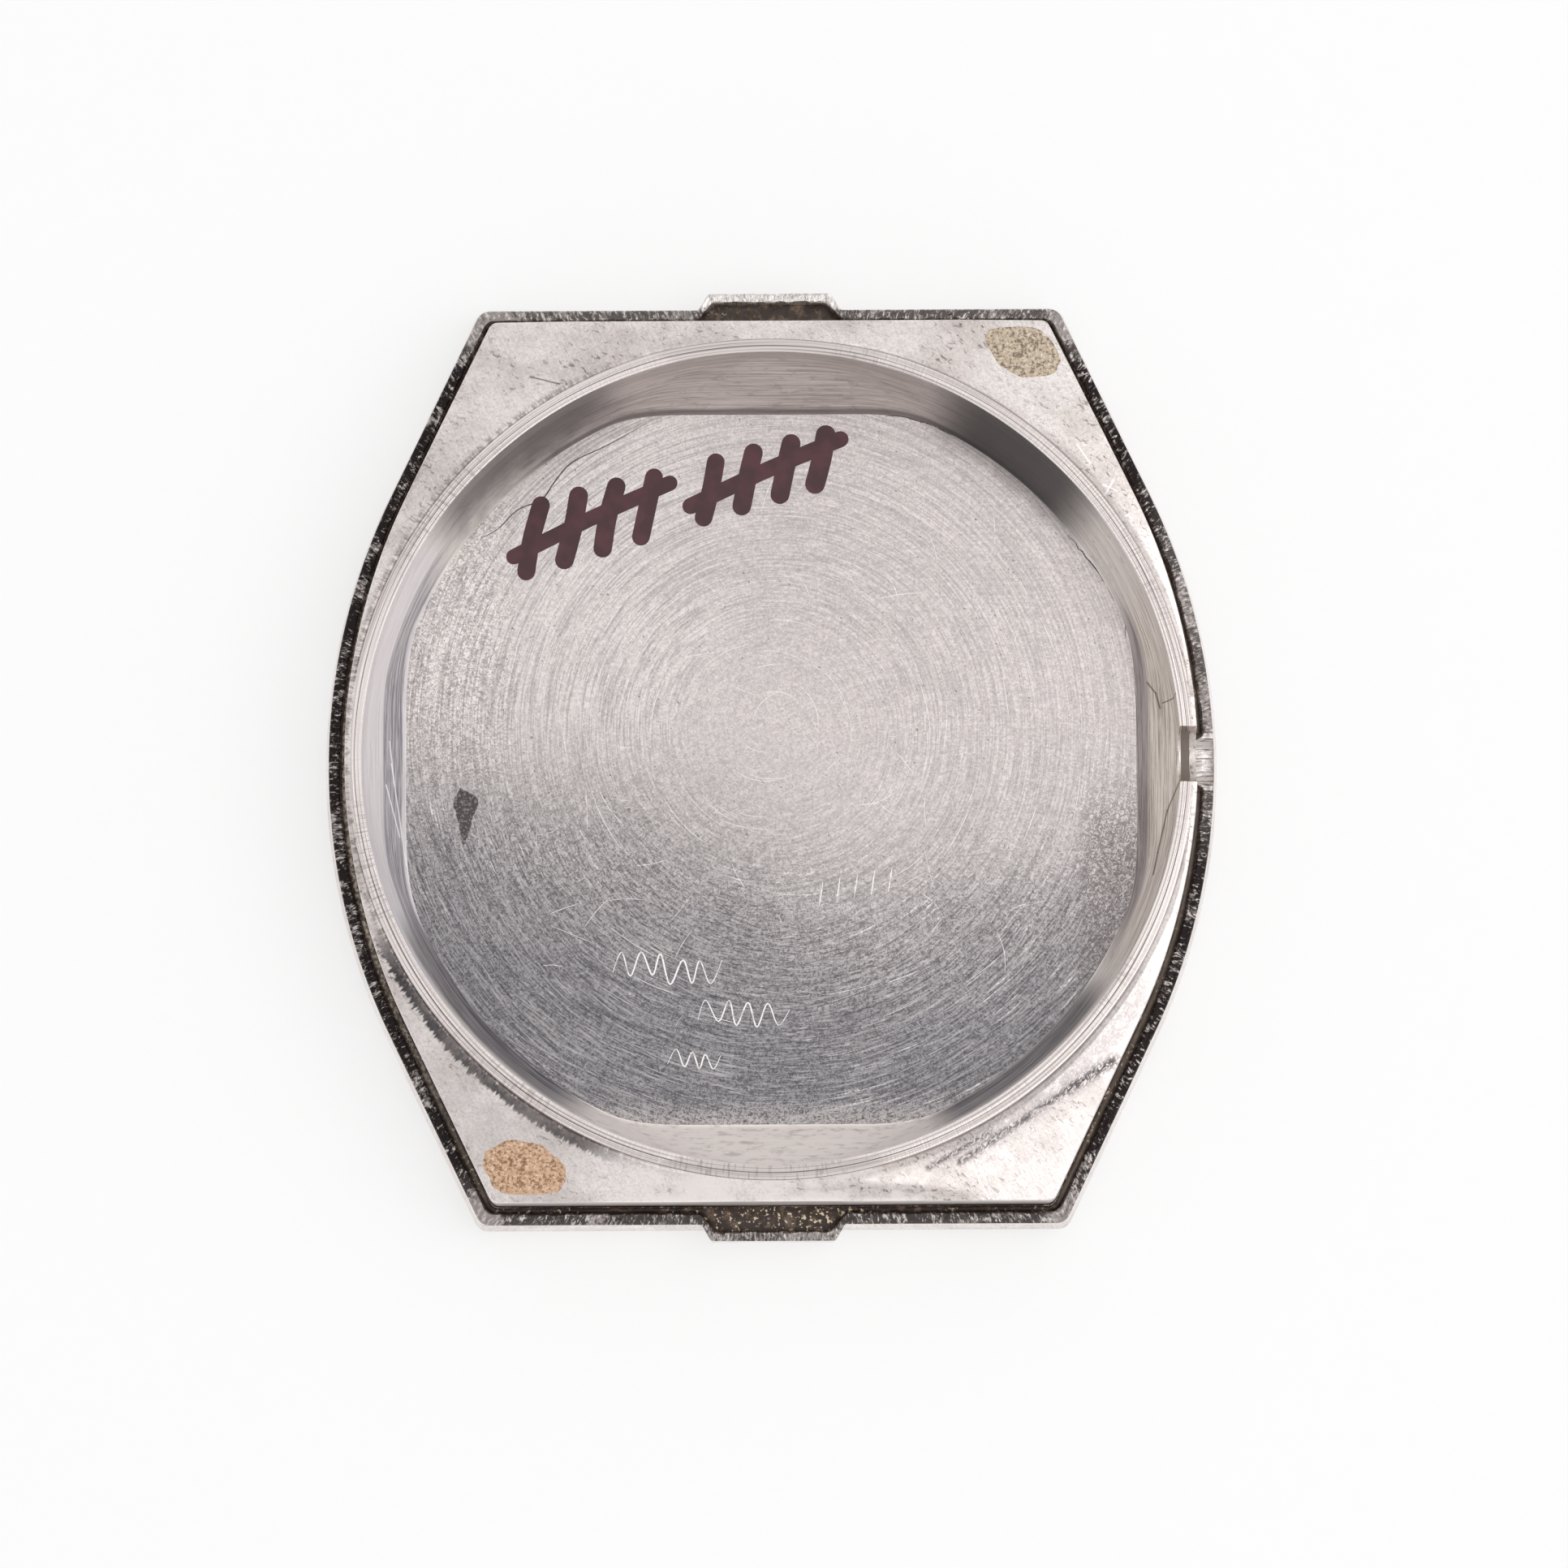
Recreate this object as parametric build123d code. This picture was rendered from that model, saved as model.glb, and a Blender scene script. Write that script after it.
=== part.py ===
from build123d import *
import math
import os

# Inside of a press-on watch back, lying on its outer face with the inside up.
# Origin: on the resting plane, on the axis of the movement bore.
# +X to the stem notch (3 o'clock), +Y to 12 o'clock, +Z up. Millimetres.

# ---- driving dimensions: plan ----
bore_diameter = 25.70  # seat for a movement of 11 1/2 lignes (25.6 mm)
frame_side_wall = 0.55  # frame beside the bore, at 3 and 9 o'clock
frame_end_wall = 1.11  # frame beyond the bore, at 12 and 6 o'clock
groove_width = 0.25  # gap that the front half of the case drops into
rim_wall = 0.35  # sheet of the upright rim
belly_radius = 19.80  # arc of each bowed side, at the rim
flank_angle = 25.60  # straight flank from the end plate's normal, degrees
rim_corner_radius = 0.45  # upright corners of the rim
frame_corner_radius = 0.30  # upright corners of the movement frame

# ---- driving dimensions: heights ----
back_thickness = 0.70  # sheet under the movement
rim_height = 1.80  # rim edge above the resting plane
groove_depth = 0.46  # rim edge down to the land that closes the groove
well_depth = 3.30  # frame lip down to the floor of the well
seat_length = 1.20  # straight wall of the bore, which the movement slides in

# ---- driving dimensions: outer face of the back ----
bevel_run = 0.90  # how far the flat outer face stays inside the rim
bevel_knee_run = 0.32  # the same, at the knee of the rolled edge
bevel_knee_height = 0.24
flank_flare = 0.15  # the side is widest below the rim edge, by this much
flank_height = 0.80

# ---- driving dimensions: pry pockets at 12 and 6 o'clock ----
pocket_length = 3.90  # flat part of the outward jog
pocket_shoulder = 0.52  # length of each slanted shoulder
pocket_projection = 0.54  # jog beyond the rim
pocket_wall = 0.31
pocket_corner_thinning = 0.50  # share of the wall by which a pocket is shorter inside
pocket_base = 0.62  # underside of the jog above the resting plane

# ---- driving dimensions: well under the movement ----
well_side_run = 1.20  # slope of the well, bore to floor, at 3 and 9 o'clock
well_end_run = 1.45  # the same at 12 and 6 o'clock
well_corner_run = 0.65  # the same on the diagonals
well_slope_margin = 0.05  # keeps the sloping sides clear of the bore's circle

# ---- driving dimensions: turned face of the movement frame ----
lip_land = 0.22  # flat lip round the bore
lip_step_width = (0.14, 0.10)  # two turned steps outside the lip
lip_step_drop = 0.05
cove_radius = 0.30  # hollow outside the steps
face_slope = 9.0  # corner faces, degrees below level
end_facet_slope = 29.0  # end facets, degrees below level
end_facet_rise = 0.33  # facet edge above the frame's outer arris at 12 o'clock

# ---- driving dimensions: stem notch at 3 o'clock ----
notch_width = 1.74  # passes a stem tube of 1.7 mm
notch_depth = 1.35  # frame lip down to the bottom of the slot
rim_notch_depth = 0.47

# ---- driving dimensions: small matter ----
dot_length = 2.30
dot_width = 1.70
dot_thickness = 0.10
dot_from_corner = (0.95, 1.00)  # dot centre, in from the frame's sharp corner
residue_height = 0.16
residue_gap = 0.03  # residue to the walls of the groove

# ---- fits ----
seat_clearance = 0.03  # movement frame in its recess, each side

# ---- derived values ----
bore_radius = bore_diameter / 2
rim_half_width = bore_radius + frame_side_wall + groove_width + rim_wall
rim_half_length = bore_radius + frame_end_wall + groove_width + rim_wall
frame_inset = rim_wall + groove_width
groove_floor = rim_height - groove_depth
floor_level = back_thickness
frame_top = floor_level + well_depth
seat_bottom = frame_top - seat_length
ring_outer_radius = bore_radius + lip_land + sum(lip_step_width)
cove_floor = frame_top - lip_step_drop * len(lip_step_width) - cove_radius
overshoot = 1.0  # how far a cutter runs past the face it cuts


def tonneau_corner(inset):
    """Half width of the straight ends and half length, at an inset from the rim."""
    angle = math.radians(flank_angle)
    radius = belly_radius - inset
    touch_x = rim_half_width - belly_radius + radius * math.cos(angle)
    touch_y = radius * math.sin(angle)
    half_length = rim_half_length - inset
    return touch_x - (half_length - touch_y) * math.tan(angle), half_length


def tonneau(inset, corner_radius=0.0):
    """Barrel outline: straight ends, straight flanks, bowed sides."""
    angle = math.radians(flank_angle)
    radius = belly_radius - inset
    centre_x = rim_half_width - belly_radius
    touch_x = centre_x + radius * math.cos(angle)
    touch_y = radius * math.sin(angle)
    belly_x = rim_half_width - inset
    end_x, end_y = tonneau_corner(inset)
    edges = [
        ThreePointArc((touch_x, -touch_y), (belly_x, 0), (touch_x, touch_y)),
        Line((touch_x, touch_y), (end_x, end_y)),
        Line((end_x, end_y), (-end_x, end_y)),
        Line((-end_x, end_y), (-touch_x, touch_y)),
        ThreePointArc((-touch_x, touch_y), (-belly_x, 0), (-touch_x, -touch_y)),
        Line((-touch_x, -touch_y), (-end_x, -end_y)),
        Line((-end_x, -end_y), (end_x, -end_y)),
        Line((end_x, -end_y), (touch_x, -touch_y)),
    ]
    face = make_face(Wire(edges))
    if corner_radius > 0:
        ends = face.vertices().filter_by(lambda v: abs(abs(v.Y) - end_y) < 1e-6)
        face = fillet(ends, corner_radius)
    return face


def prism(face, low, high):
    """Upright solid on an outline, between two heights."""
    return extrude(Pos(0, 0, low) * face, high - low)


def tapered(lower, upper, low, high):
    """Ruled solid between two outlines with the same edges."""
    return loft([Pos(0, 0, low) * lower, Pos(0, 0, high) * upper], ruled=True)


def pocket_outline(depth):
    """Jog of the end wall, pulled in by a wall thickness on every side."""
    half = pocket_length / 2 - depth * pocket_corner_thinning
    reach = rim_half_length + pocket_projection - depth
    root = half + pocket_shoulder
    inner = rim_half_length - rim_wall
    points = [(-root, inner), (root, inner), (half, reach), (-half, reach)]
    return make_face(Polyline(*points, close=True))


def both_ends(shape):
    """A shape at 12 o'clock and its turned copy at 6 o'clock."""
    return shape + Rot(0, 0, 180) * shape


def back_shell():
    """Pressed back: floor, rolled edge, upright rim, pockets and rim notch."""
    outer_radius = rim_corner_radius
    at_bottom = tonneau(bevel_run, outer_radius)
    at_knee = tonneau(bevel_knee_run, outer_radius)
    at_flank = tonneau(-flank_flare, outer_radius)
    at_rim = tonneau(0, outer_radius)
    body = tapered(at_bottom, at_knee, 0, bevel_knee_height)
    body += tapered(at_knee, at_flank, bevel_knee_height, flank_height)
    body += tapered(at_flank, at_rim, flank_height, rim_height)
    body += both_ends(prism(pocket_outline(0), pocket_base, rim_height))
    body -= prism(
        tonneau(rim_wall, rim_corner_radius), groove_floor, rim_height + overshoot
    )
    body -= both_ends(
        prism(pocket_outline(pocket_wall), groove_floor, rim_height + overshoot)
    )
    recess = tonneau(frame_inset - seat_clearance, frame_corner_radius)
    body -= prism(recess, floor_level, groove_floor + overshoot)
    return body - rim_notch()


def rim_notch():
    """Half-round filed gap in the rim for the stem tube."""
    radius = notch_width / 2
    cutter = Rot(0, 90, 0) * Cylinder(radius, rim_wall + 2 * flank_flare + groove_width)
    return Pos(rim_half_width, 0, rim_height + radius - rim_notch_depth) * cutter


def well():
    """Space inside the frame: bore above, sloping rounded square below."""
    depth = seat_bottom - floor_level
    floor = Rectangle(
        2 * (bore_radius - well_side_run), 2 * (bore_radius - well_end_run)
    )
    mouth_size = 2 * (bore_radius + well_slope_margin)
    mouth = Rectangle(mouth_size, mouth_size)
    sides = tapered(floor, mouth, floor_level, seat_bottom)
    middle = floor_level + depth / 2
    corners = Pos(0, 0, middle) * Cone(
        bore_radius - well_corner_run, bore_radius, depth
    )
    bore = prism(Circle(bore_radius), seat_bottom, frame_top + overshoot)
    return (sides & corners) + bore


def turned_face():
    """Everything above the frame's turned lip, steps, cove and corner faces."""
    first = bore_radius + lip_land
    second = first + lip_step_width[0]
    far = tonneau_corner(frame_inset)[1] + rim_half_width
    cove_outer = ring_outer_radius + cove_radius
    fall = (far - cove_outer) * math.tan(math.radians(face_slope))
    ceiling = frame_top + overshoot
    lean = cove_radius * math.sqrt(0.5)
    cove_middle = (cove_outer - lean, cove_floor + cove_radius - lean)
    step_one = frame_top - lip_step_drop
    step_two = step_one - lip_step_drop
    edges = [
        Polyline(
            (first, ceiling),
            (first, step_one),
            (second, step_one),
            (second, step_two),
            (ring_outer_radius, step_two),
        ),
        ThreePointArc(
            (ring_outer_radius, step_two), cove_middle, (cove_outer, cove_floor)
        ),
        Polyline(
            (cove_outer, cove_floor),
            (far, cove_floor - fall),
            (far, ceiling),
            (first, ceiling),
        ),
    ]
    section = Plane.XZ * make_face(edges)
    return revolve(section, Axis.Z, 360)


def end_facet():
    """Wedge that planes the frame's face down towards one straight end."""
    edge_y = rim_half_length - frame_inset
    slope = math.tan(math.radians(end_facet_slope))
    arris = cove_floor - end_facet_rise
    reach = frame_end_wall + overshoot
    points = [
        (edge_y + overshoot, arris - overshoot * slope),
        (edge_y + overshoot, frame_top + overshoot),
        (edge_y - reach, arris + reach * slope),
    ]
    half_width = rim_half_width
    section = Plane.YZ * make_face(Polyline(*points, close=True))
    return extrude(section, half_width, both=True)


def stem_slot():
    """Round-bottomed slot through the frame's wall at 3 o'clock."""
    radius = notch_width / 2
    through = frame_side_wall + well_side_run + overshoot
    bottom = frame_top - notch_depth
    centre_x = bore_radius + through / 2 - well_side_run / 2
    top = frame_top + overshoot
    centre_z = bottom + radius
    round_part = Pos(centre_x, 0, centre_z) * Rot(0, 90, 0) * Cylinder(radius, through)
    height = top - centre_z
    straight = Pos(centre_x, 0, centre_z + height / 2) * Box(
        through, notch_width, height
    )
    return round_part + straight


def movement_frame():
    """Raised ring that carries the movement in its bore."""
    outline = tonneau(frame_inset, frame_corner_radius)
    body = prism(outline, floor_level, frame_top)
    body -= turned_face()
    body -= both_ends(end_facet())
    body -= well()
    return body - stem_slot()


def dial_dot(frame, side):
    """Dried adhesive on the frame's face near a corner; side is +1 or -1."""
    corner_x, corner_y = tonneau_corner(frame_inset)
    centre_x = corner_x - dot_from_corner[0]
    centre_y = corner_y - dot_from_corner[1]
    spot = Pos(side * centre_x, side * centre_y) * Ellipse(
        dot_length / 2, dot_width / 2
    )
    column = prism(spot, groove_floor, frame_top)
    return (column & (Pos(0, 0, dot_thickness) * frame)) - frame


def groove_residue():
    """Hardened grease and dirt packed on the groove's land and in the pockets."""
    top = groove_floor + residue_height
    outer = tonneau(rim_wall + residue_gap, rim_corner_radius)
    inner = tonneau(
        frame_inset - seat_clearance - residue_gap, frame_corner_radius
    )
    ring = prism(outer, groove_floor, top) - prism(inner, groove_floor, top)
    pad = prism(pocket_outline(pocket_wall + residue_gap), groove_floor, top)
    reach_in = Pos(0, -2 * residue_gap, 0) * pad
    return ring + both_ends(pad + reach_in)


def main():
    """Write one STEP file for each piece."""
    os.makedirs("parts", exist_ok=True)
    frame = movement_frame()
    pieces = {
        "back_shell": back_shell(),
        "movement_frame": frame,
        "groove_residue": groove_residue(),
        "dial_dot_upper": dial_dot(frame, 1),
        "dial_dot_lower": dial_dot(frame, -1),
    }
    for name, shape in pieces.items():
        export_step(shape, f"parts/{name}.step")


main()
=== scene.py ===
"""Looks of a barrel-shaped watch case back with its movement frame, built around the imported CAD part.

Lengths in this script are millimetres in the CAD part's own frame (origin under the movement bore's axis,
+X to the stem notch, +Y to 12 o'clock, +Z up), and become metres where a mesh, lamp or camera is made.
"""

import logging
import math
from dataclasses import dataclass, field
from enum import Enum
from typing import Callable, Optional, Sequence

import bpy
import numpy as np
from mathutils import Matrix, Vector

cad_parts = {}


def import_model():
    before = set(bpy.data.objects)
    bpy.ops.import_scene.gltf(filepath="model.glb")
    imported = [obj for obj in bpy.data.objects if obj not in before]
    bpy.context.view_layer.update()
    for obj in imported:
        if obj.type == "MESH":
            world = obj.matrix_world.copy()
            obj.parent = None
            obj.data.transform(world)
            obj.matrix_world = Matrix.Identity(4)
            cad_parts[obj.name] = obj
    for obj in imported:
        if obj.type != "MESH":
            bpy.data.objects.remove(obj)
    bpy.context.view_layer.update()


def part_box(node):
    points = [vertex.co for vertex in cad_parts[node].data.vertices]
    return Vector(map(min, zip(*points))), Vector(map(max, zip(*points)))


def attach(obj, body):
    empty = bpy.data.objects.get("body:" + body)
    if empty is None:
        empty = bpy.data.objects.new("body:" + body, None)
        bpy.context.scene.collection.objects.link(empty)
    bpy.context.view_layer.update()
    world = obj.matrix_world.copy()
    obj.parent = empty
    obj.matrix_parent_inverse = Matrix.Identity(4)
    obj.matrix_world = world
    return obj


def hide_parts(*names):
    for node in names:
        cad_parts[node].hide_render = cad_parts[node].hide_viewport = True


MM = 0.001
log = logging.getLogger("case_back")

Array = np.ndarray
Socket = bpy.types.NodeSocket
Tree = bpy.types.NodeTree


# ---------------------------------------------------------------- small helpers


def linear(hex_colour: str, alpha: float = 1.0) -> tuple[float, float, float, float]:
    """Turn an sRGB hex colour into linear values.

    Args:
        hex_colour: six hex digits, with or without a leading #.
        alpha: fourth value of the result.

    Returns:
        Linear red, green and blue, and alpha.
    """
    digits = hex_colour.lstrip("#")
    values = [int(digits[i : i + 2], 16) / 255 for i in (0, 2, 4)]
    toe, slope, offset, power = 0.04045, 12.92, 0.055, 2.4
    light = [v / slope if v <= toe else ((v + offset) / (1 + offset)) ** power for v in values]
    return (light[0], light[1], light[2], alpha)


def smoothstep(low: float, high: float, value: Array) -> Array:
    """Rise smoothly from 0 at low to 1 at high."""
    t = np.clip((value - low) / (high - low), 0, 1)
    return t * t * (3 - 2 * t)


def soft_min(a: Array, b: Array, blend: float) -> Array:
    """Smaller of two values, rounded off where they are within blend of each other."""
    h = np.clip(0.5 + 0.5 * (b - a) / blend, 0, 1)
    return b + (a - b) * h - blend * h * (1 - h)


def soft_max(a: Array, b: Array, blend: float) -> Array:
    """Larger of two values, rounded off where they are within blend of each other."""
    return -soft_min(-a, -b, blend)


def wander(position: Array, length: float, wavelength: float, seed: int) -> Array:
    """Smooth closed random curve from -1 to 1 along a closed line.

    Args:
        position: places along the line.
        length: length of the whole line, where the curve meets itself.
        wavelength: distance between two turns of the curve.
        seed: picks the curve.

    Returns:
        One value for each place.
    """
    count = max(4, int(round(length / wavelength)))
    knots = np.random.default_rng(seed).uniform(-1, 1, count)
    t = (position / length * count) % count
    i = np.floor(t).astype(int)
    f = t - i
    f = f * f * (3 - 2 * f)
    return knots[i % count] * (1 - f) + knots[(i + 1) % count] * f


def lumps(x: Array, y: Array, size: float, seed: int) -> Array:
    """Smooth random field from -1 to 1 over the plane.

    Args:
        x: places along X.
        y: places along Y.
        size: width of one lump.
        seed: picks the field.

    Returns:
        One value for each place.
    """
    cells = 64
    shift = 40.0  # the field starts this far before the axis
    grid = np.random.default_rng(seed).uniform(-1, 1, (cells, cells))
    u, v = ((x + shift) / size) % cells, ((y + shift) / size) % cells
    i, j = np.floor(u).astype(int), np.floor(v).astype(int)
    f, g = u - i, v - j
    f, g = f * f * (3 - 2 * f), g * g * (3 - 2 * g)
    near = grid[i % cells, j % cells] * (1 - f) + grid[(i + 1) % cells, j % cells] * f
    far = grid[i % cells, (j + 1) % cells] * (1 - f) + grid[(i + 1) % cells, (j + 1) % cells] * f
    return near * (1 - g) + far * g


def mesh_piece(name: str, points: Array, faces: list, sharp_degrees: float = 34.0) -> bpy.types.Object:
    """Make a mesh object from points in millimetres.

    Args:
        name: the piece's name.
        points: one row for each vertex.
        faces: vertex numbers of each face, anticlockwise from outside.
        sharp_degrees: edges that turn more than this stay sharp.

    Returns:
        The object, linked to the scene.
    """
    mesh = bpy.data.meshes.new(name)
    mesh.from_pydata((points * MM).tolist(), [], faces)
    mesh.validate()
    mesh.shade_smooth()
    mesh.set_sharp_from_angle(angle=math.radians(sharp_degrees))
    mesh.update()
    made = bpy.data.objects.new(name, mesh)
    bpy.context.scene.collection.objects.link(made)
    return made


def dress(piece: bpy.types.Object, *materials: bpy.types.Material) -> None:
    """Give a piece its materials, in the order of its slots."""
    for material in materials:
        piece.data.materials.append(material)


# ---------------------------------------------------------------- outlines


@dataclass(frozen=True)
class Tonneau:
    """Barrel-shaped outline: straight ends, straight flanks, bowed sides."""

    half_width: float
    half_length: float
    belly_radius: float = 19.80
    flank_degrees: float = 25.60

    def radius(self, angle: Array, inset: float, corner: float) -> Array:
        """Distance from the axis to the outline.

        Args:
            angle: directions, in radians from +X.
            inset: how far the outline is pulled in.
            corner: radius of the four upright corners.

        Returns:
            One distance for each direction.
        """
        c, s = np.abs(np.cos(angle)), np.abs(np.sin(angle))
        lean = math.radians(self.flank_degrees)
        centre = self.half_width - self.belly_radius
        arc = self.belly_radius - inset
        flank_offset = centre * math.cos(lean) + arc
        end_offset = self.half_length - inset
        on_arc = centre * c + np.sqrt(np.maximum(arc**2 - (centre * s) ** 2, 0))
        on_flank = flank_offset / (c * math.cos(lean) + s * math.sin(lean))
        on_end = end_offset / np.maximum(s, 1e-9)
        direction = np.arctan2(s, c)
        touch = math.atan2(arc * math.sin(lean), centre + arc * math.cos(lean))
        out = np.where(direction < touch, on_arc, np.minimum(on_flank, on_end))
        corner_y = end_offset - corner
        corner_x = (flank_offset - corner - corner_y * math.sin(lean)) / math.cos(lean)
        low = math.atan2(corner_y + corner * math.sin(lean), corner_x + corner * math.cos(lean))
        high = math.atan2(end_offset, corner_x)
        along = c * corner_x + s * corner_y
        inside = np.maximum(along**2 - corner_x**2 - corner_y**2 + corner**2, 0)
        return np.where((direction > low) & (direction < high), along + np.sqrt(inside), out)


@dataclass(frozen=True)
class Pocket:
    """Outward jog of the rim at 12 and 6 o'clock, where a case knife gets in."""

    rim_half_length: float
    rim_wall: float
    length: float = 3.90
    shoulder: float = 0.52
    projection: float = 0.54
    wall: float = 0.31
    corner_thinning: float = 0.50
    bend: float = 0.10

    def widen(self, angle: Array, radius: Array, depth: float) -> Array:
        """Carry an outline out round the two jogs.

        Args:
            angle: directions, in radians from +X.
            radius: the outline without jogs.
            depth: how far the jogs are pulled in.

        Returns:
            The outline with both jogs.
        """
        half = self.length / 2 - depth * self.corner_thinning
        reach = self.rim_half_length + self.projection - depth
        rise = reach - (self.rim_half_length - self.rim_wall)
        c, s = np.abs(np.cos(angle)), np.abs(np.sin(angle))
        slanted = (rise * half + self.shoulder * reach) / (rise * c + self.shoulder * s)
        jog = soft_min(reach / np.maximum(s, 1e-9), slanted, self.bend)
        at_ends = s > math.cos(math.radians(30))
        return np.where(at_ends, soft_max(radius, jog, self.bend), radius)


# ---------------------------------------------------------------- spun meshes


@dataclass
class Spun:
    """Mesh made of rings round the Z axis, each with one point for each station."""

    angles: Array
    rings: list[Array] = field(default_factory=list)
    marks: list[int] = field(default_factory=list)

    def add(self, x: Array, y: Array, z: Array, finish: int = 0) -> None:
        """Add the next ring; the strip that leads to it takes the finish's number."""
        z = np.broadcast_to(z, x.shape)
        self.rings.append(np.stack([x, y, z], axis=1))
        self.marks.append(finish)

    def ring(self, radius: Array, z: Array, finish: int = 0) -> None:
        """Add a ring given by its distance from the axis."""
        radius = np.broadcast_to(radius, self.angles.shape)
        self.add(radius * np.cos(self.angles), radius * np.sin(self.angles), z, finish)

    def build(self, name: str, closed: bool, caps: bool = False) -> bpy.types.Object:
        """Join the rings into a mesh.

        Args:
            name: the piece's name.
            closed: the last ring leads back to the first.
            caps: both end rings are closed by discs that thin out to the axis.

        Returns:
            The object, with each strip's finish as its material number.
        """
        n, count = len(self.angles), len(self.rings)
        points = list(self.rings)
        faces: list[tuple[int, ...]] = []
        marks: list[int] = []
        steps = count if closed else count - 1
        around = np.arange(n)
        after = (around + 1) % n
        for k in range(steps):
            a, b = k * n, ((k + 1) % count) * n
            strip = np.stack([a + around, a + after, b + after, b + around], axis=1)
            faces.extend(map(tuple, strip.tolist()))
            marks.extend([self.marks[(k + 1) % count]] * n)
        if caps:
            base = count * n
            for end, faces_down in ((0, True), (count - 1, False)):
                extra, disc = self.disc(self.rings[end], end * n, base)
                points.append(extra)
                base += len(extra)
                faces.extend(tuple(reversed(f)) if faces_down else f for f in disc)
                marks.extend([self.marks[end]] * len(disc))
        made = mesh_piece(name, np.concatenate(points), faces)
        made.data.polygons.foreach_set("material_index", np.array(marks, dtype=np.int32))
        return made

    @staticmethod
    def disc(edge: Array, first: int, base: int) -> tuple[Array, list[tuple[int, ...]]]:
        """Fill a ring with discs of ever fewer points.

        Args:
            edge: the ring's points.
            first: number of the ring's first point.
            base: number that the first new point gets.

        Returns:
            The new points, and the faces, anticlockwise from above.
        """
        shares = (0.80, 0.55, 0.30)
        new: list[Array] = []
        faces: list[tuple[int, ...]] = []
        fine, start = edge, first
        for share in shares:
            coarse = edge[:: len(edge) // max(8, len(fine) // 4)][: len(fine) // 4] * (share, share, 1)
            m, n = len(coarse), len(fine)
            at = base + sum(len(p) for p in new)
            for k in range(m):
                c0, c1 = at + k, at + (k + 1) % m
                f = [start + (4 * k + j) % n for j in range(5)]
                faces += [(c0, f[0], f[1]), (c0, f[1], f[2]), (c0, f[2], c1)]
                faces += [(c1, f[2], f[3]), (c1, f[3], f[4])]
            new.append(coarse)
            fine, start = coarse, at
        middle = np.array([[0.0, 0.0, float(edge[:, 2].mean())]])
        at = base + sum(len(p) for p in new)
        n = len(fine)
        faces += [(at, start + k, start + (k + 1) % n) for k in range(n)]
        new.append(middle)
        return np.concatenate(new), faces


# ---------------------------------------------------------------- node graph


def add_node(
    tree: Tree, kind: str, inputs: Optional[dict] = None, **settings: object
) -> bpy.types.Node:
    """Add a node with its settings and inputs.

    Args:
        tree: the node tree.
        kind: Blender's node type.
        inputs: for each input's name or number, a socket to link or a value to set.
        settings: node properties by name.

    Returns:
        The new node.
    """
    made = tree.nodes.new(kind)
    for name, value in settings.items():
        setattr(made, name, value)
    for key, value in (inputs or {}).items():
        if isinstance(value, bpy.types.NodeSocket):
            tree.links.new(value, made.inputs[key])
        else:
            made.inputs[key].default_value = value
    return made


class Blend(Enum):
    """How a painted layer is laid over what is under it."""

    COVER = "MIX"
    DARKEN = "MULTIPLY"


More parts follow.
